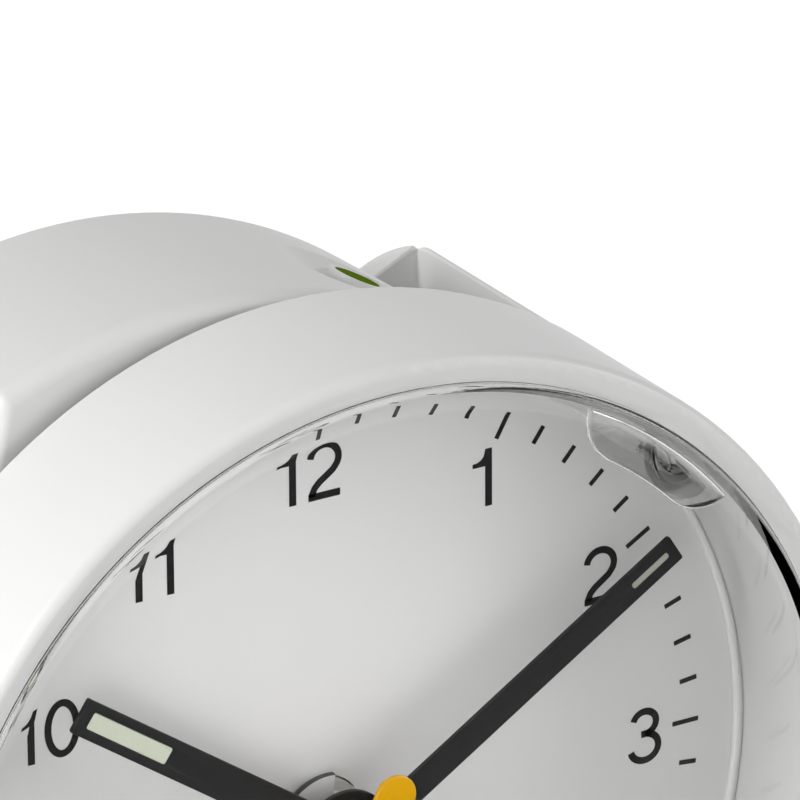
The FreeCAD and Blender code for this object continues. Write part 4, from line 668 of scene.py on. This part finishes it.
# Crystal and the clear lugs behind it
def crystal():
    """A flat front that turns over a small rounding into a tapered skirt."""
    edge, rim, half_way = 0.4, 31.93, 15
    # The skirt's foot is sunk in the dial's lip.
    foot = LIP_HEIGHT - 0.12
    foot_outer, foot_inner, skirt_inner = DIAL_RADIUS - 0.03, 30.7, 31.19
    # On the inside, a long flat curve leads from the skirt into the front.
    bend_at, bend = 29.83, 7.75
    outer = [(0, CRYSTAL_FRONT), (half_way, CRYSTAL_FRONT), (rim - edge - 0.02, CRYSTAL_FRONT)]
    outer += round_over(rim - edge, CRYSTAL_FRONT - edge, edge, 90, 0, 8)
    outer += [(rim, CRYSTAL_BACK), (foot_outer, foot)]
    inner = [(foot_inner, foot), (skirt_inner, CRYSTAL_BACK - 0.14)]
    inner += round_over(bend_at, CRYSTAL_BACK - bend, bend, 80, 90, 8) + [(bend_at - 0.02, CRYSTAL_BACK)]
    inner += [(half_way, CRYSTAL_BACK), (0, CRYSTAL_BACK)]
    piece_of("clear_crystal", "crystal", [lathe(outer + inner, 240, closed=False)], degrees=25)


def lugs():
    """A thin clear pad under the crystal's rim. The round post at its end carries the lamp's light."""
    top, inner, outer = CRYSTAL_BACK - 0.12, LUG_CIRCLE - LUG_RADIUS, 31.05
    pad_thickness, gap = 0.45, 0.02
    post_radius, post_foot = 1.9, 4.2
    first, last = LUG_ANGLES
    outline = []
    for turn, angles in ((first, range(290, 179, -6)), (last, range(180, 69, -6))):
        across, up = on_circle(LUG_CIRCLE, turn)
        for a in angles:
            heading = math.radians(a + turn)
            point = (across + LUG_RADIUS * math.sin(heading), up + LUG_RADIUS * math.cos(heading))
            if math.hypot(*point) < outer:
                outline.append(point)
        if turn == first:
            outline += [on_circle(inner, first + (last - first) * i / 8) for i in range(1, 8)]
    start = math.degrees(math.atan2(*outline[0]))
    end = math.degrees(math.atan2(*outline[-1]))
    outline += [on_circle(outer, end + (start - end) * i / 16) for i in range(17)]
    pad = plate([outline], top - pad_thickness, top, 0.15)
    under = top - pad_thickness - gap
    fillet = LUG_RADIUS - post_radius
    post = lathe([(0, post_foot), (post_radius - 0.2, post_foot), (post_radius, post_foot + 0.2)]
                 + round_over(post_radius + fillet, under - fillet, fillet, 180, 90, 10)
                 + [(0, under)], 96, closed=False)
    post.transform(Matrix.Translation((*on_circle(LUG_CIRCLE, last), 0)))
    work = bmesh.new()
    work.from_mesh(post)
    away = Vector((*on_circle(1, last), 0))
    # The cut keeps the post clear of the skirt, and follows the skirt's lean.
    cut_radius, lean = 30.9, 0.075
    cut = bmesh.ops.bisect_plane(
        work, geom=work.verts[:] + work.edges[:] + work.faces[:],
        plane_co=away * cut_radius + Vector((0, 0, top)),
        plane_no=(away - Vector((0, 0, lean))).normalized(), clear_outer=True)
    rim = [part for part in cut["geom_cut"] if isinstance(part, bmesh.types.BMEdge)]
    bmesh.ops.holes_fill(work, edges=rim)
    work.to_mesh(post)
    work.free()
    piece_of("light_lugs", "light_guide", [pad, post], degrees=35)


# The back: knobs, battery door and screws
def knobs():
    """Round knobs with a ribbed side, made by instances round a circle."""
    number, whole = "NodeSocketFloat", "NodeSocketInt"
    tree, given = new_rule("knob_ribs", {"Count": whole, "Radius": number, "Length": number, "Width": number})
    points = add(tree, "GeometryNodeMeshCircle", {
        "Vertices": given.outputs["Count"], "Radius": given.outputs["Radius"]})
    rib = add(tree, "GeometryNodeMeshCylinder", {
        "Vertices": 10, "Radius": given.outputs["Width"], "Depth": given.outputs["Length"]})
    around = add(tree, "GeometryNodeInstanceOnPoints", {
        "Points": points.outputs["Mesh"], "Instance": rib.outputs["Mesh"]})
    real = add(tree, "GeometryNodeRealizeInstances", {"Geometry": around.outputs[0]})
    coated = add(tree, "GeometryNodeSetMaterial", {
        "Geometry": real.outputs[0], "Material": FINISH["case_white"]})
    add(tree, "NodeGroupOutput", {"Geometry": coated.outputs[0]})
    back = -(DRUM_DEPTH + KNOB_GAP + KNOB_HEIGHT)
    front = -(DRUM_DEPTH + KNOB_GAP)
    rib_radius, rib_count = 0.25, 40
    core, bore = KNOB_RADIUS - rib_radius, 1.2
    edge, end_wall, dish = 0.5, 0.9, 0.35
    for name in ("time", "alarm"):
        node = name + "_set_knob"
        low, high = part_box(node)
        middle = (low[0] + high[0]) / 2 / MM
        body = lathe([(0, back + dish), (core - 1.6, back + dish), (core - 1.1, back + 0.02)]
                     + round_over(core - edge, back + edge, edge, 270, 360)
                     + [(core, front), (bore, front), (bore, back + end_wall), (0, back + end_wall)],
                     120, closed=False)
        ribs = rule_piece("ribs", tree, {
            "Count": rib_count, "Radius": core, "Length": KNOB_HEIGHT - 0.9, "Width": rib_radius})
        rib_mesh = ribs.data
        bpy.data.objects.remove(ribs)
        rib_mesh.transform(Matrix.Translation((0, 0, (front + back) / 2 + 0.3)))
        place = Matrix.Translation((middle, KNOB_UP, 0))
        piece_of(name + "_knob", node, [placed(joined([body, rib_mesh]), place)], degrees=40)


def battery_lid():
    """The battery door, a plain panel with a row of upright grip ridges."""
    low, high = -DRUM_DEPTH, -(DRUM_DEPTH - DOOR_THICKNESS)
    left, right = -DOOR_HALF_WIDE, DOOR_HALF_WIDE
    bottom, top = -(CELL_BELOW + DOOR_HALF_TALL), -(CELL_BELOW - DOOR_HALF_TALL)
    panel = plate([[(left, bottom), (right, bottom), (right, top), (left, top)]], low, high, 0.2)
    tree, given = new_rule("grip_ridges", {"Count": "NodeSocketInt", "Pitch": "NodeSocketFloat"})
    step = add(tree, "ShaderNodeCombineXYZ", {"X": given.outputs["Pitch"]})
    line = add(tree, "GeometryNodeMeshLine", {"Count": given.outputs["Count"], "Offset": step.outputs[0]})
    ridge = add(tree, "GeometryNodeMeshCylinder", {"Vertices": 16, "Radius": 0.4, "Depth": 8.0})
    upright = add(tree, "GeometryNodeTransform", {
        "Geometry": ridge.outputs["Mesh"], "Rotation": (math.radians(90), 0, 0)})
    ridges = add(tree, "GeometryNodeInstanceOnPoints", {
        "Points": line.outputs["Mesh"], "Instance": upright.outputs["Geometry"]})
    real = add(tree, "GeometryNodeRealizeInstances", {"Geometry": ridges.outputs[0]})
    coated = add(tree, "GeometryNodeSetMaterial", {
        "Geometry": real.outputs[0], "Material": FINISH["case_white"]})
    add(tree, "NodeGroupOutput", {"Geometry": coated.outputs[0]})
    grip = rule_piece("grip", tree, {"Count": 9, "Pitch": 1.15})
    grip_mesh = grip.data
    bpy.data.objects.remove(grip)
    from_edge, sunk = 10.5, 0.05
    grip_mesh.transform(Matrix.Translation((right - from_edge, -CELL_BELOW, low + sunk)))
    piece_of("battery_lid", "battery_door", [joined([panel, grip_mesh])], degrees=40)


def screws():
    """Pan-head screws with a cross recess, deep in their holes."""
    well, head_height, head_radius = 2.0, 1.2, 1.8
    shank_radius, tip = 0.93, -2.4
    seat = -(DRUM_DEPTH - well - head_height)
    arm, half = 1.05, 0.2
    cross = [(half, half), (arm, half), (arm, -half), (half, -half), (half, -arm), (-half, -arm),
             (-half, -half), (-arm, -half), (-arm, half), (-half, half), (-half, arm), (half, arm)]
    meshes = []
    for angle in SCREW_ANGLES:
        across = SCREW_CIRCLE * math.cos(math.radians(angle))
        up = SCREW_CIRCLE * math.sin(math.radians(angle))
        place = Matrix.Translation((across, up, 0))
        head = plate([disc(head_radius, steps=48), cross], seat - head_height, seat - 0.4, 0.08)
        base = plate([disc(head_radius, steps=48)], seat - 0.41, seat, 0.02)
        shank = plate([disc(shank_radius, steps=36)], seat - 0.02, tip, 0.1)
        meshes += [placed(mesh, place) for mesh in (head, base, shank)]
    piece_of("case_screws", "case_screws", meshes, degrees=35)


def bezel_slope(place):
    """The ring's front face leans in towards the crystal by a third of a millimetre."""
    across, level, up = place.x / MM, DIAL_Y - place.y / MM, place.z / MM - DIAL_HEIGHT
    face_level, inner_edge = 9.9, 32.3
    if level > face_level and math.hypot(across, up) < inner_edge:
        return place + Vector((0, BEZEL_LEAN * MM, 0))
    return place


def build_pieces():
    """Every piece that shows, and then a finish for each CAD node."""
    dressed("front_housing", "front_ring", 40, reshape=bezel_slope)
    dressed("rear_housing", "drum", 40)
    dressed("alarm_rocker", "rocker", 40)
    dressed("alarm_marker", "marker", 40, 0.08)
    dial()
    glowing_hand("hour", "hour", HOUR_HAND, HOUR_TIME, HOUR_LEVEL)
    glowing_hand("minute", "minute", MINUTE_HAND, MINUTE_TIME, MINUTE_LEVEL)
    second_hand()
    alarm_hand()
    crystal()
    lugs()
    knobs()
    battery_lid()
    screws()
    dressed("rubber_feet", "feet", 40, 0.2)
    for node, part in frame["nodes"].items():
        part.data.materials.clear()
        part.data.materials.append(FINISH[SLOT_OF[node]])


# Camera, light and floor
def camera():
    """A long lens, ahead of the clock, to its left and above it."""
    azimuth, elevation, roll = (math.radians(a) for a in (31.3, 23.1, -0.3))
    ahead = Vector((
        math.sin(azimuth) * math.cos(elevation),
        math.cos(azimuth) * math.cos(elevation),
        -math.sin(elevation),
    ))
    right = Vector((math.cos(azimuth), -math.sin(azimuth), 0))
    down = ahead.cross(right)
    across = right * math.cos(roll) - down * math.sin(roll)
    below = right * math.sin(roll) + down * math.cos(roll)
    aside, raised, away = 5.214, 25.801, 618.5
    dial_centre = Vector((0, DIAL_Y, DIAL_HEIGHT))
    place = dial_centre + across * aside - below * raised - ahead * away
    data = bpy.data.cameras.new("camera")
    data.lens = 450
    data.sensor_width = 36
    data.clip_start = 0.01
    data.clip_end = 20
    made = bpy.data.objects.new("camera", data)
    bpy.context.scene.collection.objects.link(made)
    rotation = Matrix((across, -below, -ahead)).transposed()
    made.matrix_world = Matrix.Translation(place * MM) @ rotation.to_4x4()
    bpy.context.scene.camera = made


def softbox(name, place, aim, size, watts):
    """A soft lamp that faces the place it is aimed at."""
    data = bpy.data.lights.new(name, "AREA")
    data.shape = "RECTANGLE"
    data.size, data.size_y = size
    data.energy = watts
    lamp = bpy.data.objects.new(name, data)
    bpy.context.scene.collection.objects.link(lamp)
    lamp.location = place
    lamp.rotation_mode = "QUATERNION"
    lamp.rotation_quaternion = (Vector(aim) - Vector(place)).to_track_quat("-Z", "Y")


def sheet(name, corners, material):
    """A flat stage piece from its corners in metres."""
    mesh = bpy.data.meshes.new(name)
    mesh.from_pydata(corners, [], [tuple(range(len(corners)))])
    mesh.materials.append(material)
    piece = new_piece(name, mesh)
    return piece


def seen_or_mirrored(tree):
    """1 for a ray from the camera, a mirror or clear plastic, and 0 for a ray that lights the object."""
    path = add(tree, "ShaderNodeLightPath")
    mirrored = add(tree, "ShaderNodeMath", {
        0: path.outputs["Is Glossy Ray"], 1: path.outputs["Is Transmission Ray"]}, operation="MAXIMUM")
    either = add(tree, "ShaderNodeMath", {
        0: mirrored.outputs[0], 1: path.outputs["Is Camera Ray"]}, operation="MAXIMUM")
    return either.outputs[0]


def surroundings():
    """A weak even fill light, seen and mirrored as plain white."""
    world = bpy.data.worlds.new("studio")
    bpy.context.scene.world = world
    world.use_nodes = True
    tree = world.node_tree
    tree.nodes.clear()
    fill = add(tree, "ShaderNodeBackground", {"Color": linear("FFFFFF"), "Strength": 0.38})
    white = add(tree, "ShaderNodeBackground", {"Color": linear("FFFFFF"), "Strength": 1.0})
    both = add(tree, "ShaderNodeMixShader", {
        0: seen_or_mirrored(tree), 1: fill.outputs[0], 2: white.outputs[0]})
    add(tree, "ShaderNodeOutputWorld", {"Surface": both.outputs[0]})


def lamps():
    """A large soft light at the left, and weaker ones ahead and at the right."""
    softbox("left_softbox", (-0.93, -0.02, 0.42), (0, 0, 0.03), (0.6, 0.6), 7.4)
    softbox("front_softbox", (-0.55, -0.6, 0.12), (0, 0, 0.035), (0.4, 0.4), 1.05)
    softbox("right_softbox", (0.8, -0.45, 0.32), (0, 0, 0.035), (0.35, 0.35), 1.9)


def table():
    """A matt white table that keeps the clock's shadow and merges into the white surroundings."""
    material, tree, output = blank("matt_white_table")
    plain = add(tree, "ShaderNodeBsdfDiffuse", {"Color": linear("E6E6E6")})
    lift = add(tree, "ShaderNodeEmission", {"Color": linear("FFFFFF"), "Strength": 0.58})
    bright = add(tree, "ShaderNodeAddShader", {0: plain.outputs[0], 1: lift.outputs[0]})
    both = add(tree, "ShaderNodeMixShader", {
        0: seen_or_mirrored(tree), 1: plain.outputs[0], 2: bright.outputs[0]})
    tree.links.new(both.outputs[0], output.inputs["Surface"])
    reach = 2.5
    sheet("floor", [(-reach, -reach, 0), (reach, -reach, 0), (reach, reach, 0), (-reach, reach, 0)], material)


def dark_card():
    """A card ahead of the clock, seen only in its crystal, which would mirror the white table.

    It fades out towards its edges, so that no edge of it shows there.
    """
    material, tree, output = blank("black_felt_card")
    middle = (0.07, -0.12, 0.001)
    cloth = add(tree, "ShaderNodeBsdfDiffuse", {"Color": linear("1A1A1A")})
    gone = add(tree, "ShaderNodeBsdfTransparent", {"Color": linear("FFFFFF")})
    place = add(tree, "ShaderNodeTexCoord")
    away = add(tree, "ShaderNodeVectorMath", {0: place.outputs["Object"], 1: middle}, operation="DISTANCE")
    fade = add(tree, "ShaderNodeMapRange", {
        "Value": away.outputs["Value"],
        "From Min": 0.055,
        "From Max": 0.1,
    }, interpolation_type="SMOOTHSTEP")
    faded = add(tree, "ShaderNodeMixShader", {
        0: fade.outputs["Result"], 1: cloth.outputs[0], 2: gone.outputs[0]})
    tree.links.new(faded.outputs[0], output.inputs["Surface"])
    left, right, ahead, behind, level = -0.04, 0.18, -0.23, -0.02, 0.001
    card = sheet("dark_card", [
        (left, ahead, level), (right, ahead, level), (right, behind, level), (left, behind, level)], material)
    card.visible_camera = False
    card.visible_diffuse = False
    card.visible_shadow = False


def studio():
    """A white table and surroundings, three soft lamps and a dark card."""
    surroundings()
    lamps()
    table()
    dark_card()
    bpy.context.scene.view_settings.view_transform = "Standard"


build_pieces()
camera()
studio()
